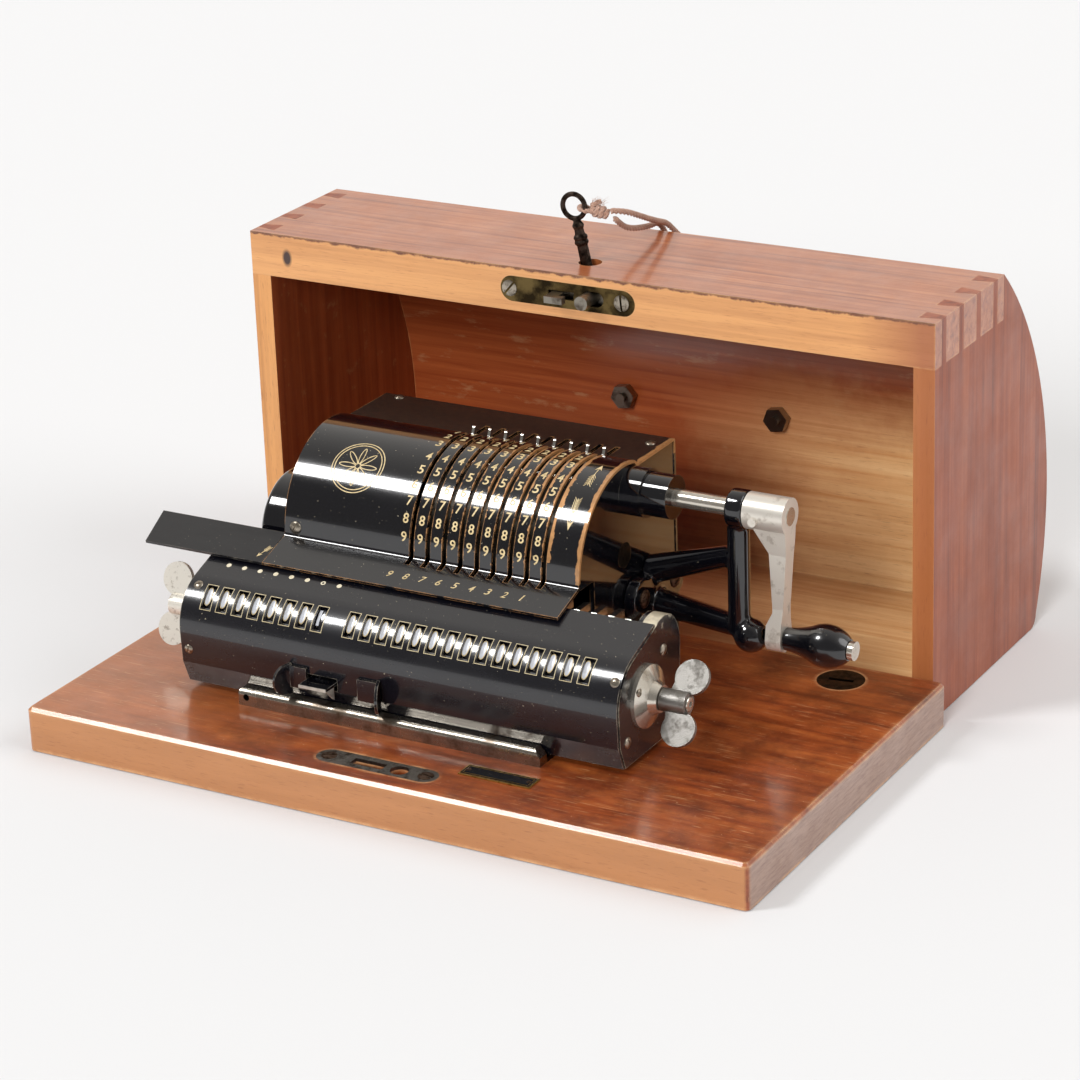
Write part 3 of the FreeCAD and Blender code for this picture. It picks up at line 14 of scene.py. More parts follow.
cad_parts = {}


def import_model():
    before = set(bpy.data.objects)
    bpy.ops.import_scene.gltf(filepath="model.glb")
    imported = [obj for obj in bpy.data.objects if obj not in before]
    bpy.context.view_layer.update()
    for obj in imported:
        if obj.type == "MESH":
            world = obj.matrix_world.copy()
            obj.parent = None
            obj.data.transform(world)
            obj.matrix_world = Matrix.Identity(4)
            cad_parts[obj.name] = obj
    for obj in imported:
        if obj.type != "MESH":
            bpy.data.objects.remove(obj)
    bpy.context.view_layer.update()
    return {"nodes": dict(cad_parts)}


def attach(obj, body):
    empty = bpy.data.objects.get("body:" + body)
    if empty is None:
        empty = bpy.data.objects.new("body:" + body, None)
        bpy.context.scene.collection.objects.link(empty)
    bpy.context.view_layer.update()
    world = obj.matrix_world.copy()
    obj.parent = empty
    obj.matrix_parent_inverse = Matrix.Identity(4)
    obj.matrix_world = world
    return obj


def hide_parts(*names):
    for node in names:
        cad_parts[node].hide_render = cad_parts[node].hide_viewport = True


LOG = logging.getLogger("calculator")
MM = 0.001
Colour = tuple[float, float, float, float]
Point = tuple[float, float, float]
Flat = tuple[float, float]
Box = tuple[tuple[str, float, float], ...]
Socket = bpy.types.NodeSocket
Tree = bpy.types.NodeTree
Placer = Callable[[Vector], Vector]


def linear(code: str) -> Colour:
    """Turn an sRGB hex colour into the linear values that sockets take.

    Args:
        code: six hex digits, such as "8a4522".

    Returns:
        The linear colour, opaque.
    """
    values = [int(code[i:i + 2], 16) / 255 for i in (0, 2, 4)]
    r, g, b = [v / 12.92 if v <= 0.04045 else ((v + 0.055) / 1.055) ** 2.4 for v in values]
    return (r, g, b, 1.0)


def add_node(
    tree: Tree,
    kind: str,
    inputs: dict | None = None,
    out: int | str = 0,
    stops: list[tuple[float, str]] | None = None,
    **settings: object,
) -> Socket | None:
    """Add one node with its settings, values and links.

    Args:
        tree: the node tree.
        kind: the node's type, such as "ShaderNodeMix".
        inputs: socket name or number, to a value, a hex colour or the output socket that feeds it.
        out: which output is returned.
        stops: places and hex colours of a colour ramp.
        settings: properties of the node.

    Returns:
        The output socket, or nothing for a node that has none.
    """
    node = tree.nodes.new(kind)
    for name, value in settings.items():
        setattr(node, name, value)
    for socket, value in (inputs or {}).items():
        if isinstance(value, bpy.types.NodeSocket):
            tree.links.new(value, node.inputs[socket])
        else:
            node.inputs[socket].default_value = linear(value) if isinstance(value, str) else value
    if stops:
        ramp = node.color_ramp
        while len(ramp.elements) < len(stops):
            ramp.elements.new(1.0)
        for element, (place, code) in zip(ramp.elements, stops):
            element.position = place
            element.color = linear(code)
    return node.outputs[out] if len(node.outputs) else None


def mottle(
    tree: Tree,
    size_mm: Point | float,
    span: Flat,
    to: Flat = (0.0, 1.0),
    detail: float = 4.0,
    rough: float = 0.55,
    shift: float = 0.0,
    twist: float = 0.0,
) -> Socket:
    """Uneven patches of a real size, as stain, dirt or grain lies on a surface.

    Args:
        tree: the node tree.
        size_mm: size of a patch along X, Y and Z, or the same all ways.
        span: noise values that give the two results.
        to: the two results.
        detail: octaves of finer patches.
        rough: strength of the fine patches.
        shift: moves the pattern, in patches.
        twist: how far the pattern swirls.

    Returns:
        The value's socket.
    """
    sizes = size_mm if isinstance(size_mm, tuple) else (size_mm,) * 3
    place = add_node(tree, "ShaderNodeTexCoord", out="Object")
    scale = tuple(1.0 / (s * MM) for s in sizes)
    mapped = add_node(tree, "ShaderNodeMapping", {"Vector": place, "Scale": scale, "Location": (shift,) * 3})
    noise = {"Vector": mapped, "Scale": 1.0, "Detail": detail, "Roughness": rough, "Distortion": twist}
    value = add_node(tree, "ShaderNodeTexNoise", noise)
    spread = {"Value": value, "From Min": span[0], "From Max": span[1], "To Min": to[0], "To Max": to[1]}
    return add_node(tree, "ShaderNodeMapRange", spread)


def object_axis(tree: Tree, axis: str, wobble_mm: float = 0.0, size_mm: float = 6.0) -> Socket:
    """A coordinate on the object, in metres, that may waver as a worn border does.

    Args:
        tree: the node tree.
        axis: X, Y or Z.
        wobble_mm: how far the border wavers.
        size_mm: length of a wave.

    Returns:
        The coordinate's socket.
    """
    place = add_node(tree, "ShaderNodeTexCoord", out="Object")
    value = add_node(tree, "ShaderNodeSeparateXYZ", {0: place}, axis)
    if not wobble_mm:
        return value
    wave = mottle(tree, size_mm, (0.3, 0.7), (-wobble_mm * MM, wobble_mm * MM), 5.0, 0.65, 11.0)
    return add_node(tree, "ShaderNodeMath", {0: value, 1: wave}, operation="ADD")


def region(tree: Tree, limits: Box, soft_mm: float = 0.2, wobble_mm: float = 0.0) -> Socket:
    """Mask that is 1 inside a box given in millimetres.

    Args:
        tree: the node tree.
        limits: each axis with its lowest and highest place.
        soft_mm: width of the border.
        wobble_mm: how far the border wavers.

    Returns:
        The mask's socket.
    """
    mask: Socket | float = 1.0
    for axis, low, high in limits:
        value = object_axis(tree, axis, wobble_mm)
        for start, full in ((low - soft_mm, low), (high + soft_mm, high)):
            ramp = {"Value": value, "From Min": start * MM, "From Max": full * MM}
            edge = add_node(tree, "ShaderNodeMapRange", ramp)
            mask = add_node(tree, "ShaderNodeMath", {0: mask, 1: edge}, operation="MULTIPLY")
    return mask


def worn_edges(tree: Tree, width_mm: float, span: Flat = (0.02, 0.12)) -> Socket:
    """Mask that is 1 on sharp edges, where handling rubs a finish away.

    Args:
        tree: the node tree.
        width_mm: width of the worn band.
        span: turn of the normal where wear starts and where it is full.

    Returns:
        The mask's socket.
    """
    soft = add_node(tree, "ShaderNodeBevel", {"Radius": width_mm * MM}, samples=6)
    flat = add_node(tree, "ShaderNodeNewGeometry", out="Normal")
    dot = add_node(tree, "ShaderNodeVectorMath", {0: soft, 1: flat}, "Value", operation="DOT_PRODUCT")
    ramp = {"Value": dot, "From Min": 1.0 - span[0], "From Max": 1.0 - span[1]}
    return add_node(tree, "ShaderNodeMapRange", ramp)


def layered(tree: Tree, ground: Socket | str, coats: list[tuple[Socket, Socket | str]]) -> Socket:
    """Lay coats of stain, paint or wear over a ground, each through its mask.

    Args:
        tree: the node tree.
        ground: the colour under them, as a socket or hex digits.
        coats: mask and colour of each coat, lowest first.

    Returns:
        The colour's socket.
    """
    for mask, colour in coats:
        ground = add_node(tree, "ShaderNodeMix", {0: mask, 6: ground, 7: colour}, 2, data_type="RGBA")
    return ground


@dataclass(frozen=True)
class Coating:
    """One real finish: a Principled shader fed by the patterns of its kind of surface."""

    name: str

    def patterns(self, tree: Tree) -> dict[str, Socket | float | str]:
        """Return what feeds each socket of the shader."""
        return {}

    def build(self) -> bpy.types.Material:
        """Build the material.

        Returns:
            The material.
        """
        material = bpy.data.materials.new(self.name)
        material.use_nodes = True
        tree = material.node_tree
        tree.nodes.clear()
        surface = add_node(tree, "ShaderNodeBsdfPrincipled", self.patterns(tree))
        add_node(tree, "ShaderNodeOutputMaterial", {"Surface": surface})
        return material


@dataclass(frozen=True)
class Paper(Coating):
    """Matt paper under the object: it shows the shadow and no gloss."""

    base: str
    roughness: float = 0.8

    def patterns(self, tree: Tree) -> dict[str, Socket | float | str]:
        """Return what feeds each socket of the shader."""
        return {"Base Color": self.base, "Roughness": self.roughness, "Specular IOR Level": 0.0}


@dataclass(frozen=True)
class Japan(Coating):
    """Stoved black japan on sheet steel: deep gloss, fine dust specks, rubbed to brown or pale at the edges.

    Real dust is finer than the 1.1 mm specks, which are as coarse as the render needs to show them.
    """

    name: str = "black_japan_stoved"
    base: str = "09090e"
    worn: str = "8d6a48"
    roughness: float = 0.12
    wear_mm: float = 0.7
    wear: float = 1.0
    specks: float = 1.0
    shine: float = 1.0
    shine_rough: float = 0.05
    dust: str = "99907c"
    dust_mm: float = 1.1
    bare_rough: float = 0.5
    bare_metallic: float = 0.35

    def worn_mask(self, tree: Tree) -> Socket:
        """Return the mask of bare metal."""
        edges = worn_edges(tree, self.wear_mm)
        broken = mottle(tree, 6.0, (0.40, 0.56), (0.0, self.wear), 5.0, 0.65)
        return add_node(tree, "ShaderNodeMath", {0: edges, 1: broken}, operation="MULTIPLY", use_clamp=True)

    def tint(self, tree: Tree, colour: Socket, rough: Socket) -> tuple[Socket, Socket]:
        """Return the colour and roughness, changed where the finish differs."""
        return colour, rough

    def patterns(self, tree: Tree) -> dict[str, Socket | float | str]:
        """Return what feeds each socket of the shader."""
        specks = mottle(tree, self.dust_mm, (0.725, 0.76), (0.0, self.specks), 2.0, 0.5, 7.0)
        colour = layered(tree, self.base, [(specks, self.dust)])
        polish = (self.roughness * 0.7, self.roughness * 1.9)
        rough = mottle(tree, (60.0, 25.0, 25.0), (0.35, 0.7), polish, 5.0, 0.6, 3.0)
        colour, rough = self.tint(tree, colour, rough)
        worn = self.worn_mask(tree)
        bare = mottle(tree, 3.0, (0.3, 0.7), (0.75, 1.15), 4.0, 0.6, 2.0)
        tone = {0: linear(self.worn)[:3], "Scale": bare}
        metal = add_node(tree, "ShaderNodeVectorMath", tone, operation="SCALE")
        dull = add_node(tree, "ShaderNodeMath", {0: worn, 1: self.bare_rough}, operation="MULTIPLY")
        metallic = {0: worn, 1: self.bare_metallic}
        ripple = mottle(tree, 15.0, (0.0, 1.0), detail=2.0, rough=0.4, shift=1.0)
        relief = {"Height": ripple, "Distance": 0.05 * MM, "Strength": 0.5}
        return {
            "Base Color": layered(tree, colour, [(worn, metal)]),
            "Roughness": add_node(tree, "ShaderNodeMath", {0: rough, 1: dull}, operation="MAXIMUM"),
            "Metallic": add_node(tree, "ShaderNodeMath", metallic, operation="MULTIPLY"),
            "Normal": add_node(tree, "ShaderNodeBump", relief),
            "Coat Weight": self.shine,
            "Coat Roughness": self.shine_rough,
        }


@dataclass(frozen=True)
class CoverJapan(Japan):
    """Japan of the slotted cover: levers have scraped the slot edges to copper, and the flat deck is dull."""

    slot_1_mm: float = 37.5
    pitch_mm: float = 8.6
    bare_mm: float = 1.15
    bare_more_mm: float = 0.7
    fray_mm: float = 0.9
    slots_y_mm: Flat = (-30.0, 47.5)
    slots_z_mm: Flat = (90.0, 131.0)
    border_x_mm: Flat = (53.8, 60.0)
    tan_y_mm: Flat = (-30.0, 46.0)
    tan_mm: float = 2.9
    deck_y_mm: Flat = (51.0, 89.0)
    deck_mm: float = 126.0
    deck_rough: float = 0.42

    def slot_wear(self, tree: Tree) -> Socket:
        """Return the mask of metal bared beside the slots, wider to the right and toward the top."""
        pitch = self.pitch_mm * MM
        fray = self.fray_mm * MM
        frayed = mottle(tree, (2.2, 3.5, 3.5), (0.3, 0.7), (-fray, fray), 5.0, 0.7, 4.0)
        across = object_axis(tree, "X")
        away: Socket = across
        for operation, value in (
            ("ADD", 12.5 * pitch - self.slot_1_mm * MM),
            ("MODULO", pitch),
            ("ADD", -0.5 * pitch),
            ("ABSOLUTE", 0.0),
            ("ADD", frayed),
        ):
            away = add_node(tree, "ShaderNodeMath", {0: away, 1: value}, operation=operation)
        rightward = {"Value": across, "From Min": -0.020, "From Max": 0.042, "To Max": self.bare_more_mm * MM}
        height = object_axis(tree, "Z", 3.0)
        upward = {"Value": height, "From Min": 0.108, "From Max": 0.129, "To Min": 0.35, "To Max": 2.3}
        reach = add_node(tree, "ShaderNodeMapRange", rightward)
        for operation, value in (
            ("MULTIPLY", add_node(tree, "ShaderNodeMapRange", upward)),
            ("ADD", self.bare_mm * MM),
            ("SUBTRACT", away),
        ):
            reach = add_node(tree, "ShaderNodeMath", {0: reach, 1: value}, operation=operation)
        bared = add_node(tree, "ShaderNodeMapRange", {"Value": reach, "From Min": 0.0, "From Max": 0.15 * MM})
        rows = (("X", -34.0, self.slot_1_mm + 4.2), ("Y", *self.slots_y_mm), ("Z", *self.slots_z_mm))
        return add_node(tree, "ShaderNodeMath", {0: bared, 1: region(tree, rows, 1.0)}, operation="MULTIPLY")

    def worn_mask(self, tree: Tree) -> Socket:
        """Return the mask of bare metal."""
        border = (("X", *self.border_x_mm), ("Z", 88.0, 131.0))
        tan = (("X", self.slot_1_mm, self.slot_1_mm + self.tan_mm), ("Y", *self.tan_y_mm), ("Z", 96.0, 131.0))
        mask = Japan.worn_mask(self, tree)
        for extra in (self.slot_wear(tree), region(tree, border, 0.25, 0.8), region(tree, tan, 0.25, 0.9)):
            mask = add_node(tree, "ShaderNodeMath", {0: mask, 1: extra}, operation="MAXIMUM")
        return mask

    def tint(self, tree: Tree, colour: Socket, rough: Socket) -> tuple[Socket, Socket]:
        """Return the colour and roughness, dull brown-black on the deck."""
        deck = region(tree, (("Y", *self.deck_y_mm), ("Z", self.deck_mm - 0.15, 140.0)), 0.3)
        stain = mottle(tree, 3.0, (0.4, 0.75), detail=6.0, rough=0.7, shift=5.0)
        dull = layered(tree, "17120f", [(stain, "392a20")])
        matt = add_node(tree, "ShaderNodeMath", {0: deck, 1: self.deck_rough}, operation="MULTIPLY")
        rough = add_node(tree, "ShaderNodeMath", {0: rough, 1: matt}, operation="MAXIMUM")
        return layered(tree, colour, [(deck, dull)]), rough


@dataclass(frozen=True)
class PatchedJapan(Japan):
    """Japan with places left bright or painted pale, as on the shift latch and the carriage's right hump."""

    places: tuple[Box, ...] = ()

    def worn_mask(self, tree: Tree) -> Socket:
        """Return the mask of bare metal and pale paint."""
        mask = Japan.worn_mask(self, tree)
        for place in self.places:
            spot = region(tree, place, 0.2, 0.3)
            mask = add_node(tree, "ShaderNodeMath", {0: mask, 1: spot}, operation="MAXIMUM")
        return mask


@dataclass(frozen=True)
class Metal(Coating):
    """Bright or dull metal with stains: nickel plate, machined steel, brass or iron.

    Plain metal's own grain is too fine to show, so its relief is drawn 1.2 mm coarse and only 0.02 mm deep.
    """

    base: str
    stain: str
    roughness: float = 0.25
    stain_mm: float = 8.0
    stain_from: float = 0.5
    brushed: Point | None = None
    metallic: float = 1.0
    grit_mm: float = 0.0
    other: str = ""
    other_place: Box = ()
    streaks: float = 0.3

    def patterns(self, tree: Tree) -> dict[str, Socket | float | str]:
        """Return what feeds each socket of the shader."""
        mask = mottle(tree, self.stain_mm, (self.stain_from, self.stain_from + 0.2), detail=6.0, rough=0.62)
        coats = [(mask, self.stain)]
        if self.other_place:
            coats.append((region(tree, self.other_place), self.other))
        if self.brushed:
            height = mottle(tree, self.brushed, (0.3, 0.7), detail=3.0, rough=0.6, shift=2.0)
            streak = add_node(tree, "ShaderNodeMath", {0: height, 1: self.streaks}, operation="MULTIPLY")
            coats.append((streak, self.stain))
            deep_mm = 0.05
        else:
            height = mottle(tree, self.grit_mm or 1.2, (0.2, 0.8), detail=4.0, rough=0.6, shift=4.0)
            deep_mm = 0.12 if self.grit_mm else 0.02
        spread = {"Value": mask, "To Min": self.roughness, "To Max": min(0.8, self.roughness * 1.9)}
        relief = {"Height": height, "Distance": deep_mm * MM, "Strength": 0.5}
        return {
            "Base Color": layered(tree, self.base, coats),
            "Roughness": add_node(tree, "ShaderNodeMapRange", spread),
            "Normal": add_node(tree, "ShaderNodeBump", relief),
            "Metallic": self.metallic,
        }


@dataclass(frozen=True)
class Timber(Coating):
    """Varnished timber: long grain lines and fine pores, stain rubbed off to pale wood at the edges."""

    light: str
    mid: str
    dark: str
    grain_mm: Point = (120.0, 3.0, 3.0)
    pore_mm: Point = (10.0, 0.5, 0.5)
    edge: str = "d6a272"
    edge_mm: float = 2.2
    wear: float = 0.8
    roughness: float = 0.34
    coat: float = 1.0
    coat_rough: float = 0.14
    blotch_mm: float = 45.0
    blotch: str = "5a2a12"
    blotch_share: float = 0.5
    pore_share: float = 0.4

    def zones(self, tree: Tree, wood: Socket, grain: Socket) -> Socket:
        """Return the colour, changed where the timber is bare or stained otherwise."""
        return wood

    def patterns(self, tree: Tree) -> dict[str, Socket | float | str]:
        """Return what feeds each socket of the shader."""
        grain = mottle(tree, self.grain_mm, (0.0, 1.0), detail=7.0, rough=0.62, shift=2.0, twist=0.35)
        pores = mottle(tree, self.pore_mm, (0.58, 0.74), detail=3.0, rough=0.6, shift=9.0)
        shades = [(0.33, self.dark), (0.47, self.mid), (0.66, self.light)]
        wood = add_node(tree, "ShaderNodeValToRGB", {0: grain}, stops=shades)
        stain = mottle(tree, self.blotch_mm, (0.42, 0.72), (0.0, self.blotch_share), 6.0, 0.66, 5.0)
        wood = self.zones(tree, layered(tree, wood, [(stain, self.blotch)]), grain)
        veins = add_node(tree, "ShaderNodeMath", {0: pores, 1: self.pore_share}, operation="MULTIPLY")
        edges = worn_edges(tree, self.edge_mm, (0.01, 0.1))
        rub = mottle(tree, 12.0, (0.36, 0.6), (0.0, self.wear), 5.0, 0.65, 8.0)
        worn = add_node(tree, "ShaderNodeMath", {0: edges, 1: rub}, operation="MULTIPLY")
        polish = (self.roughness, self.roughness * 1.6)
        cut = add_node(tree, "ShaderNodeBump", {"Height": grain, "Distance": 0.12 * MM, "Strength": 0.3})
        relief = {"Height": pores, "Distance": -0.06 * MM, "Strength": 0.4, "Normal": cut}
        return {
            "Base Color": layered(tree, wood, [(veins, self.dark), (worn, self.edge)]),
            "Roughness": mottle(tree, 26.0, (0.35, 0.7), polish, 5.0, 0.62, 6.0),
            "Normal": add_node(tree, "ShaderNodeBump", relief),
            "Coat Weight": self.coat,
            "Coat Roughness": self.coat_rough,
        }


@dataclass(frozen=True)
class CaseTimber(Timber):
    """Pine of the case: stained outside, honey-yellow on the mouth's rim with painted shade at its right end,
    and red-brown inside, darkened above as painted shade, going to bare pine paled low on the right as a
    painted patch of sunlight.

    The arch is the roof's inner face, given by its axis in Y and Z and its radius.
    """

    rim: str = "dfa062"
    rim_shade: str = "a9663c"
    inside_high: tuple[str, str] = ("84381a", "ad5a30")
    inside_low: tuple[str, str] = ("dba066", "f6cf98")
    mouth_mm: float = 102.5
    room_mm: Box = (("X", -173.9, 167.9), ("Y", 102.85, 290.0), ("Z", 9.3, 171.0))
    arch_mm: Flat = (71.4, 66.2)
    arch_r_mm: float = 159.5
    tails_mm: Box = (("X", 180.9, 190.0), ("Y", 103.0, 300.0))
    soot_mm: Box = (("Z", 191.7, 200.0),)
    knot_mm: Point = (-163.5, 102.5, 181.0)
    knot_squash: Point = (1.3, 1.0, 0.8)
    knot_r_mm: Flat = (2.2, 4.0)

    def room(self, tree: Tree) -> Socket:
        """Return the mask of the room inside: a box, cut by the arch of the roof."""
        squares = []
        for axis, centre in zip("YZ", self.arch_mm):
            away = {0: object_axis(tree, axis), 1: -centre * MM}
            away = add_node(tree, "ShaderNodeMath", away, operation="ADD")
            if axis == "Z":
                away = add_node(tree, "ShaderNodeMath", {0: away, 1: 0.0}, operation="MAXIMUM")
            squares.append(add_node(tree, "ShaderNodeMath", {0: away, 1: 2.0}, operation="POWER"))
        reach = add_node(tree, "ShaderNodeMath", dict(enumerate(squares)), operation="ADD")
        reach = add_node(tree, "ShaderNodeMath", {0: reach}, operation="SQRT")
        under = {"Value": reach, "From Min": self.arch_r_mm * MM, "From Max": (self.arch_r_mm - 0.7) * MM}
        inner = {0: region(tree, self.room_mm, 0.3), 1: add_node(tree, "ShaderNodeMapRange", under)}
        return add_node(tree, "ShaderNodeMath", inner, operation="MULTIPLY")

    def inside(self, tree: Tree, grain: Socket) -> Socket:
        """Return the colour of the room: red-brown, darkened above as painted shade, but bare pine low on the
        right, paled there further as a painted patch of sunlight, with scrapes.
        """
        streak = add_node(tree, "ShaderNodeMapRange", {"Value": grain, "From Min": 0.3, "From Max": 0.7})
        pairs = (self.inside_high, self.inside_low)
        high, low = [layered(tree, dark, [(streak, pale)]) for dark, pale in pairs]
        across = {"Value": object_axis(tree, "X", 16.0, 40.0), "From Min": -0.02, "From Max": 0.11}
        down = {"Value": object_axis(tree, "Z", 12.0, 40.0), "From Min": 0.115, "From Max": 0.075}
        ramps = {i: add_node(tree, "ShaderNodeMapRange", ramp) for i, ramp in enumerate((across, down))}
        # Painted light: bare pine low on the right is paled as a patch of sunlight; the red-brown above is
        # darkened as painted shade.
        pine_and_painted_sun = add_node(tree, "ShaderNodeMath", ramps, operation="MULTIPLY")
        scraped = mottle(tree, (30.0, 9.0, 9.0), (0.6, 0.68), (0.0, 0.45), 6.0, 0.7, 13.0)
        return layered(tree, high, [(pine_and_painted_sun, low), (scraped, "b98a63")])

    def honey(self, tree: Tree, grain: Socket) -> Socket:
        """Return the colour of the rim: honey, with painted shade at the right end, grain lines and a sooty
        top.
        """
        # Painted shade: the rim darkens toward the case's right end.
        shade = {"Value": object_axis(tree, "X"), "From Min": 0.14, "From Max": 0.172}
        lines = {"Value": grain, "From Min": 0.3, "From Max": 0.6, "To Min": 0.45, "To Max": 0.0}
        shade, lines = [add_node(tree, "ShaderNodeMapRange", ramp) for ramp in (shade, lines)]
        soot = region(tree, self.soot_mm, 0.8, 0.9)
        return layered(tree, self.rim, [(shade, self.rim_shade), (lines, "9a5a2c"), (soot, "6a3a1e")])

    def zones(self, tree: Tree, wood: Socket, grain: Socket) -> Socket:
        """Return the colour, changed inside, on the end's joints, on the rim and at its knot."""
        spot = add_node(tree, "ShaderNodeTexCoord", out="Object")
        squash = add_node(tree, "ShaderNodeVectorMath", {0: spot, 1: self.knot_squash}, operation="MULTIPLY")
        centre = tuple(place * share * MM for place, share in zip(self.knot_mm, self.knot_squash))
        away = add_node(tree, "ShaderNodeVectorMath", {0: squash, 1: centre}, "Value", operation="DISTANCE")
        dark, clear = self.knot_r_mm
        knot = {"Value": away, "From Min": clear * MM, "From Max": dark * MM}
        mouth = (("Y", 60.0, self.mouth_mm + 0.12),)
        return layered(tree, wood, [
            (self.room(tree), self.inside(tree, grain)),
            (region(tree, self.tails_mm, 0.1), "7d3a20"),
            (region(tree, mouth, 0.15), self.honey(tree, grain)),
            (add_node(tree, "ShaderNodeMapRange", knot), "341508"),
        ])


@dataclass(frozen=True)
class BoardTimber(Timber):
    """Beech of the board: mottled red-brown varnish on a scratched top, paler to the left as painted sheen,
    honey front, greyed end grain.
    """

    front: str = "ad7344"
    side: str = "a58472"
    front_mm: float = -101.9
    side_mm: float = 185.0
    scratches: tuple[Flat, ...] = ((0.5, 0.55), (-0.35, 0.5), (1.15, 0.4))

    def zones(self, tree: Tree, wood: Socket, grain: Socket) -> Socket:
        """Return the colour, paler toward the left as painted sheen, changed on the front and the end, with
        scratches on top.
        """
        across = object_axis(tree, "X", 20.0, 40.0)
        # Painted sheen: the top is lightened toward the left, where the varnish shines.
        painted_sheen = {"Value": across, "From Min": -0.04, "From Max": -0.17, "To Max": 0.6}
        coats = [(add_node(tree, "ShaderNodeMapRange", painted_sheen), "b8703c")]
        for turn, share in self.scratches:
            place = add_node(tree, "ShaderNodeTexCoord", out="Object")
            drawn = {"Vector": place, "Rotation": (0.0, 0.0, turn), "Scale": (70.0, 1400.0, 200.0)}
            drawn = add_node(tree, "ShaderNodeMapping", drawn)
            lines = add_node(tree, "ShaderNodeTexNoise", {"Vector": drawn, "Scale": 1.0, "Detail": 2.0})
            thin = {"Value": lines, "From Min": 0.655, "From Max": 0.70, "To Max": share}
            some = mottle(tree, 28.0, (0.46, 0.62), shift=17.0 + turn)
            scratch = {0: add_node(tree, "ShaderNodeMapRange", thin), 1: some}
            coats.append((add_node(tree, "ShaderNodeMath", scratch, operation="MULTIPLY"), "d9a878"))
        coats.append((mottle(tree, 1.2, (0.73, 0.77), (0.0, 0.8), 2.0, 0.5, 21.0), "d8b48c"))
        fleck = mottle(tree, (2.4, 1.0, 0.7), (0.5, 0.7), (0.0, 0.45), 3.0, 0.6, 3.0)
        band = mottle(tree, (70.0, 10.0, 7.0), (0.4, 0.7), (0.0, 0.4), 4.0, 0.6, 5.0)
        weather = mottle(tree, (2.0, 9.0, 1.1), (0.4, 0.68), (0.0, 0.7), 5.0, 0.65, 6.0)
        face = region(tree, (("Y", -120.0, self.front_mm + 0.1),), 0.5)
        coats.append((face, layered(tree, self.front, [(fleck, "b5763f"), (band, "c28450")])))
        end = region(tree, (("X", self.side_mm - 0.1, 200.0),), 0.5)
        coats.append((end, layered(tree, self.side, [(weather, "7a5648")])))
        return layered(tree, wood, coats)


@dataclass(frozen=True)
class Paint(Coating):
    """Thin transfer or enamel: figures, dots and arrows, slightly flaked and yellowed."""

    base: str
    aged: str
    roughness: float = 0.4
    age: float = 0.6

    def patterns(self, tree: Tree) -> dict[str, Socket | float | str]:
        """Return what feeds each socket of the shader."""
        mask = mottle(tree, 2.0, (0.42, 0.68), (0.0, self.age), 5.0, 0.65, 2.0)
        relief = {"Height": mask, "Distance": 0.03 * MM, "Strength": 0.4}
        return {
            "Base Color": layered(tree, self.base, [(mask, self.aged)]),
            "Normal": add_node(tree, "ShaderNodeBump", relief),
            "Roughness": self.roughness,
            "Metallic": 0.0,
        }


@dataclass(frozen=True)
class Fibre(Coating):
    """Three-ply hemp twine: soft matt strands with darker creases and loose pale fibres."""

    base: str
    shade: str
    dirt: str = "9a6a55"

    def patterns(self, tree: Tree) -> dict[str, Socket | float | str]:
        """Return what feeds each socket of the shader."""
        strands = mottle(tree, (1.4, 0.35, 0.35), (0.35, 0.7), detail=5.0, rough=0.7, shift=1.0, twist=1.2)
        dirt = mottle(tree, 9.0, (0.4, 0.7), (0.0, 0.5), 4.0, 0.6, 4.0)
        relief = {"Height": strands, "Distance": 0.25 * MM, "Strength": 0.8}
        return {
            "Base Color": layered(tree, self.shade, [(strands, self.base), (dirt, self.dirt)]),
            "Normal": add_node(tree, "ShaderNodeBump", relief),
            "Roughness": 0.9,
            "Sheen Weight": 0.4,
        }


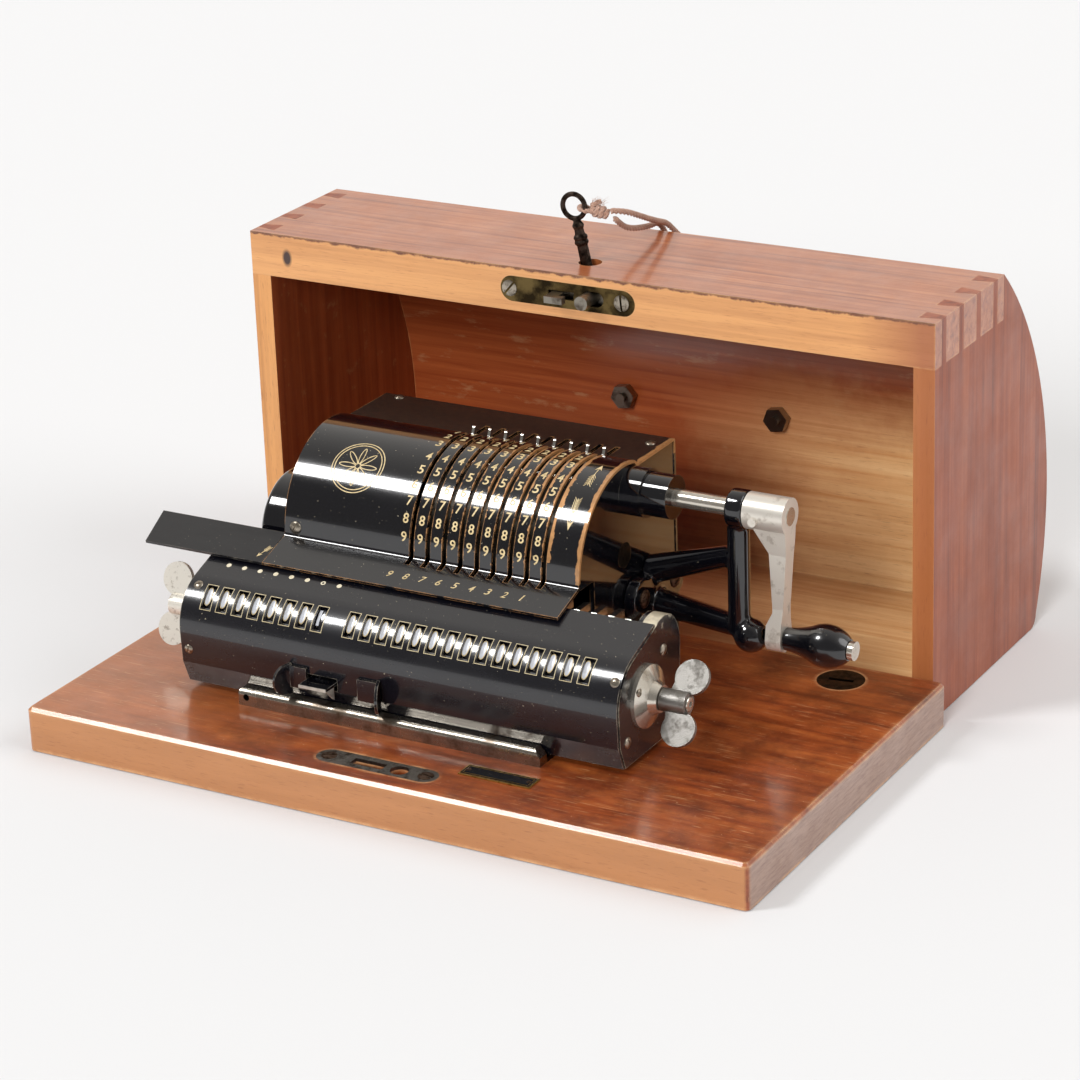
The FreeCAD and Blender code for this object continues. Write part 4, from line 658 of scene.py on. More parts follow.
class Finish(Enum):
    """The finishes on this object, each with what it gives the eye."""

    # Stoved sheet: a deep black mirror with brown edges
    JAPAN = Japan()
    # The same, copper-brown beside the slots and dull on the deck
    COVER = CoverJapan("black_japan_cover", worn="bd8a58", wear=1.2)
    # Handled japan: a softer, broader shine, with grey edges
    CARRIAGE = Japan("black_japan_carriage", "0c0c13", "a39a8a", 0.2, 0.5, shine_rough=0.11)
    # The same on the end plates, with one pale painted place on the right hump
    ENDS = PatchedJapan(
        "black_japan_carriage_ends", "0c0c13", "d8cdb4", 0.2, 0.5, shine_rough=0.11,
        places=((("X", 92.0, 98.5), ("Y", -18.0, 6.0), ("Z", 76.5, 90.0)),),
    )
    # Sheet with little varnish left: a greyer black with a weak shine
    PLATE = Japan("black_japan_extension", worn="8d857a", roughness=0.3, wear_mm=0.5, wear=0.5, shine=0.4)
    # Black lever with a bright gusset and a bright front edge
    LATCH = PatchedJapan(
        "black_japan_latch", worn="c4beb4", roughness=0.16, wear_mm=0.5,
        places=((("X", -48.0, -45.0), ("Y", -62.0, -54.0), ("Z", 30.0, 38.4)), (("Y", -63.0, -61.2),)),
    )
    # Enamelled castings: the blackest and glossiest pieces, hardly worn
    ENAMEL = Japan("black_enamel_on_iron", worn="8c8577", roughness=0.09, wear=0.3, specks=0.4)
    # Turned birch under lacquer: smooth black with long highlights
    GRIP = Japan("black_lacquered_birch", roughness=0.15, wear=0.1, specks=0.6)
    # Polished nickel: warm silver with brown stains
    NICKEL = Metal("nickel_plate_worn", "ddd6ca", "94836d", 0.2, 9.0, 0.54, metallic=0.9)
    # Satin nickel: pale, with soft highlights
    ARM = Metal("nickel_plate_satin", "e4ded4", "9c9082", 0.32, 7.0, 0.56, metallic=0.55)
    # Matt nickel: even grey with a fine grit
    BLADE = Metal("nickel_plate_matt", "9c9994", "86817a", 0.4, 5.0, 0.5, grit_mm=0.5)
    # Flaked nickel: pale plate broken by brown metal
    BLADE_WORN = Metal("nickel_plate_flaked", "ebe6db", "6b5a48", 0.42, 3.0, 0.56, grit_mm=0.6, metallic=0.5)
    # Planed bar: bright streaks along it, with painted shade in near-black where the carriage overhangs it
    STEEL = Metal(
        "machined_steel_bar", "b9b2a6", "6f5c4a", 0.27, 12.0, 0.5, brushed=(40.0, 0.7, 0.7),
        other="1d1a18", other_place=(("Y", -50.4, -30.0),),
    )
    # Aged ironwork: grey with brown clouds
    IRONWORK = Metal("steel_ironwork_aged", "9c958a", "5c4c40", 0.36, 8.0, 0.5)
    # Steel inside the body, seen through slots: painted nearly black as painted shade
    DARK_STEEL = Metal("steel_in_painted_shade", "3a3631", "1d1a16", 0.42, 8.0, 0.5)
    # Fingered steel levers: the brightest points of the cover
    LEVER = Metal("polished_steel_levers", "dedbd5", "9a9288", 0.2, 5.0, 0.6)
    # Dulled strike plate: grey and gritty at the front, brown at the back
    STRIKE = Metal(
        "steel_strike_dulled", "8f8982", "4c443d", 0.4, 5.0, 0.46, grit_mm=0.9,
        other="3d342b", other_place=(("Y", 60.0, 110.0),),
    )
    # Tarnished brass lock: dull olive with dark clouds
    BRASS = Metal("brass_tarnished", "7b6842", "463a27", 0.4, 11.0, 0.42, grit_mm=0.8)
    # Rubbed brass: a clear gold line
    GILT = Metal("brass_bright", "c9a65e", "7e6233", 0.3, 3.0, 0.5)
    # Old screw steel: silver with brown flecks
    SCREW = Metal("screw_steel_aged", "b4aa9b", "65564a", 0.3, 2.0, 0.5)
    # Rusty screws: brown with a weak shine
    RUSTY = Metal("screw_steel_rusty", "70594a", "3a2a21", 0.45, 1.5, 0.45)
    # Forged iron: dark, rough and faintly shining
    IRON = Metal("wrought_iron_key", "4a3f38", "1d1713", 0.42, 3.0, 0.42, grit_mm=0.6)
    # Transfer figures: cream going to gold
    FIGURE = Paint("figures_cream_gold", "dfc99a", "8d7140", 0.42)
    # Enamel dots: clean cream
    CREAM = Paint("dots_cream_enamel", "e8dfc6", "b29a6c", age=0.5)
    # Wheel numerals: cold white that stands out in the windows; inside each nought it is a painted reflection
    # of the lamp
    NUMERAL = Paint("numerals_white_enamel_and_painted_reflection", "dfe2ea", "b7b3a8", 0.25, 0.4)
    # Fine lines round the windows: pale gold
    OUTLINE = Paint("outline_pale_gold", "cfc09a", "8a7a58", age=0.5)
    # Stained beech: short mottled grain under a thin varnish
    BOARD = BoardTimber(
        "beech_board_stained", "b3602c", "96461d", "6a2c10", (70.0, 9.0, 9.0), (7.0, 0.5, 0.6), "dba877", 3.4,
        0.9, 0.34, 0.7, 0.16, 24.0, "4f1d0b", 0.85,
    )
    # Stained pine: long orange-brown grain under a clear varnish
    CASE = CaseTimber(
        "pine_case_stained", "bf7545", "ad6034", "874522", (160.0, 4.0, 4.0), (8.0, 0.6, 0.6), "d39c66", 1.6,
        0.6, 0.36, 0.9, 0.16, 30.0, "8a4422", 0.55,
    )
    # Ends of the case: upright grain, redder and duller
    CASE_END = CaseTimber(
        "pine_case_ends", "a65a38", "94492b", "733620", (4.0, 5.0, 160.0), (0.6, 0.6, 8.0), "bf8355", 0.7,
        0.4, 0.45, 0.35, 0.28, 40.0, "7c3c22", 0.5,
    )
    # Twine: soft pinkish straw with darker creases
    TWINE = Fibre("hemp_twine", "dcb9a4", "a3745e")

    def material(self) -> bpy.types.Material:
        """Return this finish's material, built on first use."""
        return bpy.data.materials.get(self.value.name) or self.value.build()


def dress(obj: bpy.types.Object, finish: Finish) -> None:
    """Put one finish on a whole object.

    Args:
        obj: the object.
        finish: the finish.
    """
    if not obj.material_slots:
        obj.data.materials.append(finish.material())
    for slot in obj.material_slots:
        slot.material = finish.material()


def select_only(obj: bpy.types.Object | None) -> None:
    """Select one object, or nothing, as the frame arrives selected.

    Args:
        obj: the object, or None.
    """
    for other in bpy.context.selected_objects:
        other.select_set(False)
    if obj:
        obj.select_set(True)
    bpy.context.view_layer.objects.active = obj


@contextmanager
def editing(obj: bpy.types.Object) -> Iterator[None]:
    """Hold one object in edit mode with all of it selected.

    Args:
        obj: the object.

    Yields:
        Nothing.
    """
    select_only(obj)
    bpy.ops.object.mode_set(mode="EDIT")
    bpy.ops.mesh.select_all(action="SELECT")
    yield
    bpy.ops.object.mode_set(mode="OBJECT")


def modify(obj: bpy.types.Object, kind: str, **settings: object) -> None:
    """Apply one modifier.

    Args:
        obj: the object.
        kind: the modifier's type.
        settings: its properties.
    """
    select_only(obj)
    modifier = obj.modifiers.new(kind.lower(), kind)
    for name, value in settings.items():
        setattr(modifier, name, value)
    bpy.ops.object.modifier_apply(modifier=modifier.name)


def smooth(obj: bpy.types.Object, degrees: float = 40.0) -> None:
    """Shade an object smooth across shallow edges.

    Args:
        obj: the object.
        degrees: the widest angle that is smoothed.
    """
    select_only(obj)
    bpy.ops.object.shade_smooth_by_angle(angle=math.radians(degrees))


def settle(obj: bpy.types.Object, name: str, finish: Finish, body: str) -> bpy.types.Object:
    """Name a finished piece, dress it and let it ride.

    Args:
        obj: the piece, its place in its mesh.
        name: its name.
        finish: its finish.
        body: the body it moves with.

    Returns:
        The piece.
    """
    obj.name = name
    dress(obj, finish)
    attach(obj, body)
    LOG.info("%s rides on %s with %d faces", name, body, len(obj.data.polygons))
    return obj


def stance(at_mm: Point, normal: Point, turn: float = 0.0) -> Matrix:
    """Matrix that stands a template, made in millimetres with its face up Z, at a place.

    Args:
        at_mm: the place.
        normal: the direction its face looks.
        turn: turn about that direction.

    Returns:
        The matrix, which also turns millimetres into metres.
    """
    z = Vector(normal).normalized()
    x = Vector((1.0, 0.0, 0.0)) if abs(z.x) < 0.9 else Vector((0.0, 1.0, 0.0))
    x = (x - z * x.dot(z)).normalized()
    axes = Matrix((x, z.cross(x), z)).transposed().to_4x4()
    spin = Matrix.Rotation(turn, 4, "Z")
    return Matrix.Translation(Vector(at_mm) * MM) @ axes @ spin @ Matrix.Scale(MM, 4)


def put(name: str, data: bpy.types.ID) -> bpy.types.Object:
    """Add an object that holds the given data to the scene.

    Args:
        name: its name.
        data: its mesh, curve, lamp or camera.

    Returns:
        The object.
    """
    obj = bpy.data.objects.new(name, data)
    bpy.context.scene.collection.objects.link(obj)
    return obj


def shaped(name: str, points: list, faces: list, edges: list | None = None) -> bpy.types.Object:
    """Join points up into a mesh, as an object in the scene.

    Args:
        name: its name.
        points: its points.
        faces: the points of each face.
        edges: the points of each edge, where it has no faces.

    Returns:
        The object.
    """
    mesh = bpy.data.meshes.new(name)
    mesh.from_pydata(points, edges or [], faces)
    return put(name, mesh)


def block(at: Point, size: Point, round_by: float, steps: int = 2) -> bpy.types.Object:
    """Make a block with bevelled edges, in millimetres.

    Args:
        at: its centre.
        size: its length along X, Y and Z.
        round_by: width of the bevel.
        steps: segments of the bevel.

    Returns:
        The template.
    """
    select_only(None)
    bpy.ops.mesh.primitive_cube_add(size=1.0, location=at, scale=size)
    made = bpy.context.object
    bpy.ops.object.transform_apply()
    with editing(made):
        bpy.ops.mesh.bevel(offset=round_by, segments=steps)
    return made


def turned(profile: list[Flat] | tuple[Flat, ...], steps: int = 40) -> bpy.types.Object:
    """Turn a profile about Z, as on a lathe.

    Args:
        profile: radius and height of each point, in millimetres.
        steps: facets round the axis.

    Returns:
        The turned template, in millimetres.
    """
    edges = [(i, i + 1) for i in range(len(profile) - 1)]
    obj = shaped("turned", [(r, 0.0, h) for r, h in profile], [], edges)
    with editing(obj):
        bpy.ops.mesh.spin(steps=steps, angle=math.tau, center=(0.0, 0.0, 0.0), axis=(0.0, 0.0, 1.0))
        bpy.ops.mesh.select_all(action="SELECT")
        bpy.ops.mesh.remove_doubles(threshold=0.001)
        bpy.ops.mesh.normals_make_consistent(inside=False)
    return obj


def copies(template: bpy.types.Object, places: list[Matrix]) -> bpy.types.Object:
    """Copy a template to each place and join the copies; the template goes.

    Args:
        template: the template.
        places: a matrix for each copy.

    Returns:
        The joined object.
    """
    made = []
    for place in places:
        copy = put("copy", template.data.copy())
        copy.data.transform(place)
        made.append(copy)
    bpy.data.objects.remove(template)
    return joined(made)


def joined(parts: list[bpy.types.Object]) -> bpy.types.Object:
    """Join objects into the first.

    Args:
        parts: the objects.

    Returns:
        The joined object.
    """
    select_only(parts[0])
    for part in parts:
        part.select_set(True)
    bpy.ops.object.join()
    return bpy.context.object


def painted(obj: bpy.types.Object, thickness: float = 0.06, step: float = 0.7) -> bpy.types.Mesh:
    """Cut a flat shape into rows, so that it can follow a curved sheet, and give it the thickness of paint.

    Args:
        obj: the shape, in millimetres; it goes.
        thickness: its thickness, or 0 where it has one.
        step: height of a row.

    Returns:
        The shape's mesh.
    """
    low = min(v.co.y for v in obj.data.vertices)
    high = max(v.co.y for v in obj.data.vertices)
    rows = max(2, round((high - low) / step))
    with editing(obj):
        for row in range(1, rows):
            bpy.ops.mesh.select_all(action="SELECT")
            level = low + (high - low) * row / rows
            bpy.ops.mesh.bisect(plane_co=(0.0, level, 0.0), plane_no=(0.0, 1.0, 0.0))
    if thickness:
        modify(obj, "SOLIDIFY", thickness=thickness, offset=0.0)
    mesh = obj.data
    bpy.data.objects.remove(obj)
    return mesh


def oval(width: float, height: float, line: float = 0.0, points: int = 32) -> bpy.types.Mesh:
    """Flat oval or oval ring in millimetres, facing up Z.

    Args:
        width: its width.
        height: its height.
        line: width of the ring's line, or 0 for a filled oval.
        points: points round it.

    Returns:
        The mesh.
    """
    select_only(None)
    bpy.ops.mesh.primitive_circle_add(vertices=points, radius=0.5, fill_type="NGON")
    return outlined(bpy.context.object, width, height, line)


def panel(width: float, height: float, line: float = 0.0) -> bpy.types.Mesh:
    """Flat rectangle or rectangular frame in millimetres, facing up Z.

    Args:
        width: its width.
        height: its height.
        line: width of the frame's line, or 0 for a filled rectangle.

    Returns:
        The mesh.
    """
    select_only(None)
    bpy.ops.mesh.primitive_plane_add(size=1.0)
    return outlined(bpy.context.object, width, height, line)


def outlined(obj: bpy.types.Object, width: float, height: float, line: float) -> bpy.types.Mesh:
    """Size a flat shape, cut out its middle where it is a line, and make it paint.

    Args:
        obj: the flat shape, one unit across.
        width: its width in millimetres.
        height: its height in millimetres.
        line: width of the line, or 0.

    Returns:
        The mesh; the object goes.
    """
    obj.data.transform(Matrix.Diagonal((width, height, 1.0, 1.0)))
    if line:
        with editing(obj):
            bpy.ops.mesh.inset(thickness=line, depth=0.0)
            bpy.ops.mesh.delete(type="FACE")
    return painted(obj)


def glyph(text: str, width: float, height: float, bold: float = 0.012) -> bpy.types.Mesh:
    """One figure of a dial as a thin raised mesh, centred, in millimetres.

    Args:
        text: the figure.
        width: its widest size.
        height: its height.
        bold: how far its outline is thickened.

    Returns:
        The mesh.
    """
    select_only(None)
    bpy.ops.object.text_add()
    obj = bpy.context.object
    obj.data.body = text
    obj.data.offset = bold
    obj.data.extrude = 0.01
    obj.data.resolution_u = 3
    bpy.ops.object.convert(target="MESH")
    obj = bpy.context.object
    xs = [v.co.x for v in obj.data.vertices]
    ys = [v.co.y for v in obj.data.vertices]
    tall = height / (max(ys) - min(ys))
    wide = min(width / (max(xs) - min(xs)), tall * 1.1)
    middle = Vector(((max(xs) + min(xs)) / 2, (max(ys) + min(ys)) / 2, 0.0))
    obj.data.transform(Matrix.Diagonal((wide, tall, 3.0, 1.0)) @ Matrix.Translation(-middle))
    return painted(obj, 0.0)


def arrow(length: float, width: float) -> bpy.types.Mesh:
    """Feathered arrow pointing up Y, in millimetres.

    Args:
        length: from feathers to tip.
        width: across the head.

    Returns:
        The mesh.
    """
    half = length / 2
    shaft = 0.18
    barb = width / 2
    points: list[Point] = [
        (-shaft, -half * 0.9, 0.0), (shaft, -half * 0.9, 0.0),
        (shaft, half * 0.6, 0.0), (-shaft, half * 0.6, 0.0),
        (-barb, half * 0.42, 0.0), (0.0, half * 0.62, 0.0), (barb, half * 0.42, 0.0), (0.0, half, 0.0),
    ]
    faces: list[tuple[int, ...]] = [(0, 1, 2, 3), (4, 5, 7), (5, 6, 7)]
    for step in range(5):
        for side in (-1.0, 1.0):
            low = -half + step * half * 0.17
            first = len(points)
            points += [
                (side * 0.15, low + half * 0.26, 0.0), (side * barb, low, 0.0),
                (side * barb, low + half * 0.07, 0.0), (side * 0.15, low + half * 0.34, 0.0),
            ]
            order = (0, 1, 2, 3) if side < 0 else (3, 2, 1, 0)
            faces.append(tuple(first + i for i in order))
    return painted(shaped("arrow", points, faces))


@dataclass
class Decals:
    """Thin painted shapes laid on curved sheet metal and gathered into one piece."""

    points: list[Vector] = field(default_factory=list)
    faces: list[tuple[int, ...]] = field(default_factory=list)

    def lay(self, mesh: bpy.types.Mesh, placer: Placer) -> None:
        """Lay one shape.

        Args:
            mesh: the shape in millimetres, facing up Z.
            placer: turns a point of the shape into a place in millimetres.
        """
        first = len(self.points)
        self.points += [placer(v.co) * MM for v in mesh.vertices]
        self.faces += [tuple(first + i for i in face.vertices) for face in mesh.polygons]

    def build(self, name: str, finish: Finish, body: str) -> bpy.types.Object:
        """Make the piece.

        Args:
            name: its name.
            finish: its finish.
            body: the body it moves with.

        Returns:
            The piece.
        """
        obj = shaped(name, self.points, self.faces)
        with editing(obj):
            bpy.ops.mesh.remove_doubles(threshold=0.002 * MM)
            bpy.ops.mesh.normals_make_consistent(inside=False)
        return settle(obj, name, finish, body)


def round_axis(centre: Flat, radius: float, x: float, degrees: float, lift: float = 0.03) -> Placer:
    """Placer for a sheet bent round an axis along X.

    Args:
        centre: Y and Z of the axis.
        radius: the sheet's outer radius.
        x: place along the axis.
        degrees: angle up from the front.
        lift: height above the sheet.

    Returns:
        The placer.
    """
    def place(co: Vector) -> Vector:
        """Return the place of one point of the shape, in millimetres."""
        angle = math.radians(degrees) + co.y / radius
        out = radius + lift + co.z
        return Vector((x + co.x, centre[0] - out * math.cos(angle), centre[1] + out * math.sin(angle)))
    return place


def on_slope(low: Flat, high: Flat, x: float, along: float, lift: float = 0.03, lean: float = 0.0) -> Placer:
    """Placer for a flat slope that runs along X.

    Args:
        low: Y and Z of its front edge.
        high: Y and Z of its back edge.
        x: place along it.
        along: distance up from the front edge.
        lift: height above it.
        lean: slant of a figure.

    Returns:
        The placer.
    """
    run = Vector((0.0, high[0] - low[0], high[1] - low[1])).normalized()
    out = Vector((1.0, 0.0, 0.0)).cross(run)
    start = Vector((x, low[0], low[1]))

    def place(co: Vector) -> Vector:
        """Return the place of one point of the shape, in millimetres."""
        side = Vector((co.x + lean * co.y, 0.0, 0.0))
        return start + side + run * (along + co.y) + out * (lift + co.z)
    return place


def circle_through(a: Flat, b: Flat, c: Flat) -> tuple[Flat, float]:
    """Find the circle through three points.

    Args:
        a: first point.
        b: second point.
        c: third point.

    Returns:
        Its centre and radius.
    """
    ax, ay, bx, by, cx, cy = (*a, *b, *c)
    d = 2.0 * (ax * (by - cy) + bx * (cy - ay) + cx * (ay - by))
    sa, sb, sc = ax * ax + ay * ay, bx * bx + by * by, cx * cx + cy * cy
    x = (sa * (by - cy) + sb * (cy - ay) + sc * (ay - by)) / d
    y = (sa * (cx - bx) + sb * (ax - cx) + sc * (bx - ax)) / d
    return (x, y), math.hypot(ax - x, ay - y)


@dataclass
class Studio:
    """Pale floor, soft lamps and the camera."""

    eye_mm: Point = (776.03, -1277.79, 692.0)
    yaw: float = -0.527
    pitch: float = 0.379
    roll: float = -0.037
    focal_px: float = 3571.186
    frame_px: float = 1080.0
    sensor_mm: float = 36.0
    floor_half: float = 6.0
    floor_drop: float = 0.0005

    def camera(self) -> None:
        """Place the camera at the photograph's angle."""
        level = math.cos(self.pitch)
        forward = Vector((math.sin(self.yaw) * level, math.cos(self.yaw) * level, -math.sin(self.pitch)))
        right = Vector((math.cos(self.yaw), -math.sin(self.yaw), 0.0))
        up = right.cross(forward)
        side = math.cos(self.roll) * right + math.sin(self.roll) * up
        top = -math.sin(self.roll) * right + math.cos(self.roll) * up
        data = bpy.data.cameras.new("camera")
        data.sensor_width = self.sensor_mm
        data.lens = self.sensor_mm * self.focal_px / self.frame_px
        data.clip_start = 0.05
        data.clip_end = 50.0
        obj = put("camera", data)
        turn = Matrix((side, top, -forward)).transposed().to_4x4()
        obj.matrix_world = Matrix.Translation(Vector(self.eye_mm) * MM) @ turn
        bpy.context.scene.camera = obj

    def sun(self, name: str, toward: Point, strength: float, wide: float, shines: bool = True) -> None:
        """Hang one soft far lamp, which lights the whole floor evenly.

        Args:
            name: the lamp's name.
            toward: direction from the object to the lamp.
            strength: its strength.
            wide: its angle in degrees.
            shines: whether glossy surfaces show it.
        """
        data = bpy.data.lights.new(name, "SUN")
        data.energy = strength
        data.angle = math.radians(wide)
        obj = put(name, data)
        obj.rotation_euler = (-Vector(toward)).to_track_quat("-Z", "Y").to_euler()
        obj.visible_glossy = shines

    def world(self) -> None:
        """Give a surround that is white behind the object and dark in front, as a studio's is."""
        world = bpy.data.worlds.new("studio")
        bpy.context.scene.world = world
        world.use_nodes = True
        tree = world.node_tree
        tree.nodes.clear()
        way = add_node(tree, "ShaderNodeTexCoord", out="Generated")
        tilt = {0: way, 1: (0.05, 0.5, 0.1)}
        slope = add_node(tree, "ShaderNodeVectorMath", tilt, "Value", operation="DOT_PRODUCT")
        level = add_node(tree, "ShaderNodeMath", {0: slope, 1: 0.42}, operation="ADD")
        level = add_node(tree, "ShaderNodeMath", {0: level, 1: 0.18}, operation="MAXIMUM")
        glow = add_node(tree, "ShaderNodeBackground", {"Color": "fffaf3", "Strength": level})
        add_node(tree, "ShaderNodeOutputWorld", {"Surface": glow})

    def floor(self) -> None:
        """Lay the pale floor."""
        select_only(None)
        bpy.ops.mesh.primitive_plane_add(size=2 * self.floor_half, location=(0.0, 0.0, -self.floor_drop))
        floor = bpy.context.object
        floor.name = "studio_floor"
        bpy.ops.object.transform_apply()
        floor.data.materials.append(Paper("paper_sweep_white", "e3e4e6").build())

    def build(self) -> None:
        """Set up the view, lamps, surround and floor."""
        bpy.context.scene.view_settings.view_transform = "Standard"
        self.camera()
        self.world()
        self.floor()
        self.sun("key_sun", (-0.50, -0.42, 0.76), 1.25, 13.0)
        self.sun("side_sun", (0.80, 0.10, 0.60), 0.85, 40.0)
        self.sun("low_sun", (0.12, -0.88, 0.42), 2.0, 18.0, False)


@dataclass
class Twine:
    """Hemp twine tied to the key: down over the case's roof and back in one loop."""

    radius_mm: float = 1.5
    length_mm: float = 284.0
    lay_mm: float = 8.5
    step_mm: float = 0.45
    ply_share: float = 0.52
    route_mm: tuple[Point, ...] = (
        (3.4, 127.6, 217.2), (6.3, 134.5, 215.6), (7.3, 145.0, 211.0), (7.2, 156.5, 206.0),
        (6.1, 168.0, 201.4), (4.9, 179.0, 197.6), (4.2, 187.5, 191.6), (6.0, 195.8, 183.5),
        (9.0, 204.4, 173.6), (11.5, 212.3, 162.9), (12.5, 219.1, 151.9), (12.0, 224.0, 143.3),
        (5.0, 228.0, 134.3), (-6.5, 228.0, 134.3), (-13.0, 224.0, 143.3), (-12.0, 219.1, 151.9),
        (-9.5, 212.3, 162.9), (-6.5, 204.4, 173.6), (-3.5, 195.8, 183.5), (-1.3, 187.5, 191.6),
        (0.2, 179.0, 197.4), (1.8, 169.0, 198.4), (2.2, 159.0, 200.3), (2.4, 149.0, 202.6),
        (2.0, 140.0, 206.2), (3.2, 131.2, 212.4),
    )
    bow_mm: Point = (-13.8, 122.5, 218.9)
    knot_from: float = 7.8
    knot_to: float = 16.8
    hitch_r: float = 1.3
    winding_r: float = 1.35
    tail_r: float = 1.2
    fibre_r: float = 0.11
    fibres: int = 46
    turns: float = 3.25
    chords: int = 8
    seed: int = 11

    def line(self, points_mm: list[Vector] | tuple[Point, ...], resolution: int = 12) -> list[Vector]:
        """Read a smooth line through given control points.

        Args:
            points_mm: the control points.
            resolution: points to a span.

        Returns:
            The line's points in metres.
        """
        data = bpy.data.curves.new("route", "CURVE")
        data.dimensions = "3D"
        data.resolution_u = resolution
        spline = data.splines.new("NURBS")
        spline.points.add(len(points_mm) - 1)
        for point, at in zip(spline.points, points_mm):
            point.co = (*(Vector(at) * MM), 1.0)
        spline.order_u = 3
        spline.use_endpoint_u = True
        obj = put("route", data)
        mesh = bpy.data.meshes.new_from_object(obj)
        line = [v.co.copy() for v in mesh.vertices]
        bpy.data.objects.remove(obj)
        return line

    def strand(self, name: str, line: list[Vector], radius_mm: float, sides: int = 18, plies: int = 3,
               taper: bool = False) -> bpy.types.Object:
        """Lay plies round a line as one closed tube whose section turns along it.

        Args:
            name: the object's name.
            line: the centre line in metres.
            radius_mm: the strand's radius.
            sides: points round it.
            plies: plies, or 0 for a plain fibre.
            taper: whether it thins to its end.

        Returns:
            The object.
        """
        walk = resampled(line, self.step_mm * MM if plies else 0.5 * MM)
        normal = (walk[1] - walk[0]).orthogonal().normalized()
        points: list[Vector] = []
        for index, at in enumerate(walk):
            ahead = walk[min(index + 1, len(walk) - 1)] - walk[max(index - 1, 0)]
            ahead.normalize()
            normal = (normal - ahead * normal.dot(ahead)).normalized()
            side = ahead.cross(normal)
            share = index / (len(walk) - 1)
            size = radius_mm * MM * ((1.0 - 0.85 * share) if taper else 1.0)
            phase = math.tau * index * self.step_mm / self.lay_mm
            for corner in range(sides):
                angle = math.tau * corner / sides
                reach = 1.0
                if plies:
                    third = math.tau / plies
                    off = (angle - phase + third / 2) % third - third / 2
                    across = self.ply_share * math.sin(off)
                    reach = math.sqrt((1.0 - self.ply_share) ** 2 - across ** 2)
                    reach += self.ply_share * math.cos(off)
                points.append(at + (normal * math.cos(angle) + side * math.sin(angle)) * size * reach)
        faces = []
        for ring in range(len(walk) - 1):
            for corner in range(sides):
                a = ring * sides + corner
                b = ring * sides + (corner + 1) % sides
                faces.append((a, b, b + sides, a + sides))
        faces.append(tuple(reversed(range(sides))))
        faces.append(tuple((len(walk) - 1) * sides + corner for corner in range(sides)))
        obj = shaped(name, points, faces)
        smooth(obj, 70.0)
        return obj

    def knot(self) -> bpy.types.Object:
        """Make the hitch round the key's ring: two legs, a wound barrel and frayed ends.

        Returns:
            The piece.
        """
        chance = random.Random(self.seed)
        bow = Vector(self.bow_mm)
        ends = (Vector(self.route_mm[0]) + Vector(self.route_mm[-1])) / 2
        axis = (ends - bow).normalized()
        front = Vector((0.0, -1.0, 0.0))
        front = (front - axis * front.dot(axis)).normalized()
        up = front.cross(axis)
        wire = bow + axis * 5.9
        start = bow + axis * self.knot_from
        stop = bow + axis * self.knot_to
        loop = [
            stop + front * 0.9, start + front * 1.7, wire + front * 3.0 + up * 0.2,
            bow + axis * 3.1 + front * 1.9, bow + axis * 2.6, bow + axis * 3.1 - front * 1.9,
            wire - front * 3.0 - up * 0.2, start - front * 1.7, stop - front * 0.9,
        ]
        parts = [self.strand("hitch", self.line(loop), self.hitch_r)]
        turns = []
        steps = round(self.turns * self.chords)
        for step in range(steps + 1):
            angle = step / self.chords * math.tau
            share = step / steps
            reach = 1.7 + 0.5 * math.sin(math.pi * share)
            centre = start + (stop - start) * (0.08 + 0.84 * share)
            turns.append(centre + (front * math.cos(angle) + up * math.sin(angle)) * reach)
        parts.append(self.strand("winding", self.line(turns), self.winding_r))
        tail = [start + up * 2.2, start + up * 3.4 + axis * 1.5, start + up * 5.2 + axis * 4.2 - front]
        parts.append(self.strand("tail", self.line(tail), self.tail_r))
        for _ in range(self.fibres):
            root = start + axis * chance.uniform(0.0, 5.5) + up * chance.uniform(1.5, 4.2)
            way = up * chance.uniform(0.5, 1.1) + axis * chance.uniform(-0.5, 0.8)
            way += front * chance.uniform(-0.5, 0.5)
            reach = chance.uniform(2.0, 5.5)
            curl = axis * chance.uniform(-1.2, 1.2) + front * chance.uniform(-1.0, 1.0)
            way *= reach
            line = [root, root + way * 0.4, root + way * 0.75 + curl * 0.6, root + way + curl]
            parts.append(self.strand("fibre", self.line(line, 4), self.fibre_r, 4, 0, True))
        whole = joined(parts)
        settle(whole, "twine_hitch_and_fray", Finish.TWINE, "key")
        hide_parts("twine_knot")
        return whole

    def build(self) -> None:
        """Build the knot and the cord."""
        knot = self.knot()
        path = self.line(self.route_mm)
        cord = self.strand("twine_cord", path, self.radius_mm)
        settle(cord, "twine_cord", Finish.TWINE, "case")
        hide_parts("twine")


def resampled(line: list[Vector], step: float) -> list[Vector]:
    """Walk along a line in equal steps.

    Args:
        line: its points.
        step: the step's length, about.

    Returns:
        The points walked.
    """
    lengths = [0.0]
    for a, b in zip(line, line[1:]):
        lengths.append(lengths[-1] + (b - a).length)
    count = max(3, round(lengths[-1] / step))
    walked = []
    piece = 0
    for number in range(count + 1):
        want = lengths[-1] * number / count
        while piece < len(line) - 2 and lengths[piece + 1] < want:
            piece += 1
        span = max(lengths[piece + 1] - lengths[piece], 1e-9)
        walked.append(line[piece].lerp(line[piece + 1], (want - lengths[piece]) / span))
    return walked


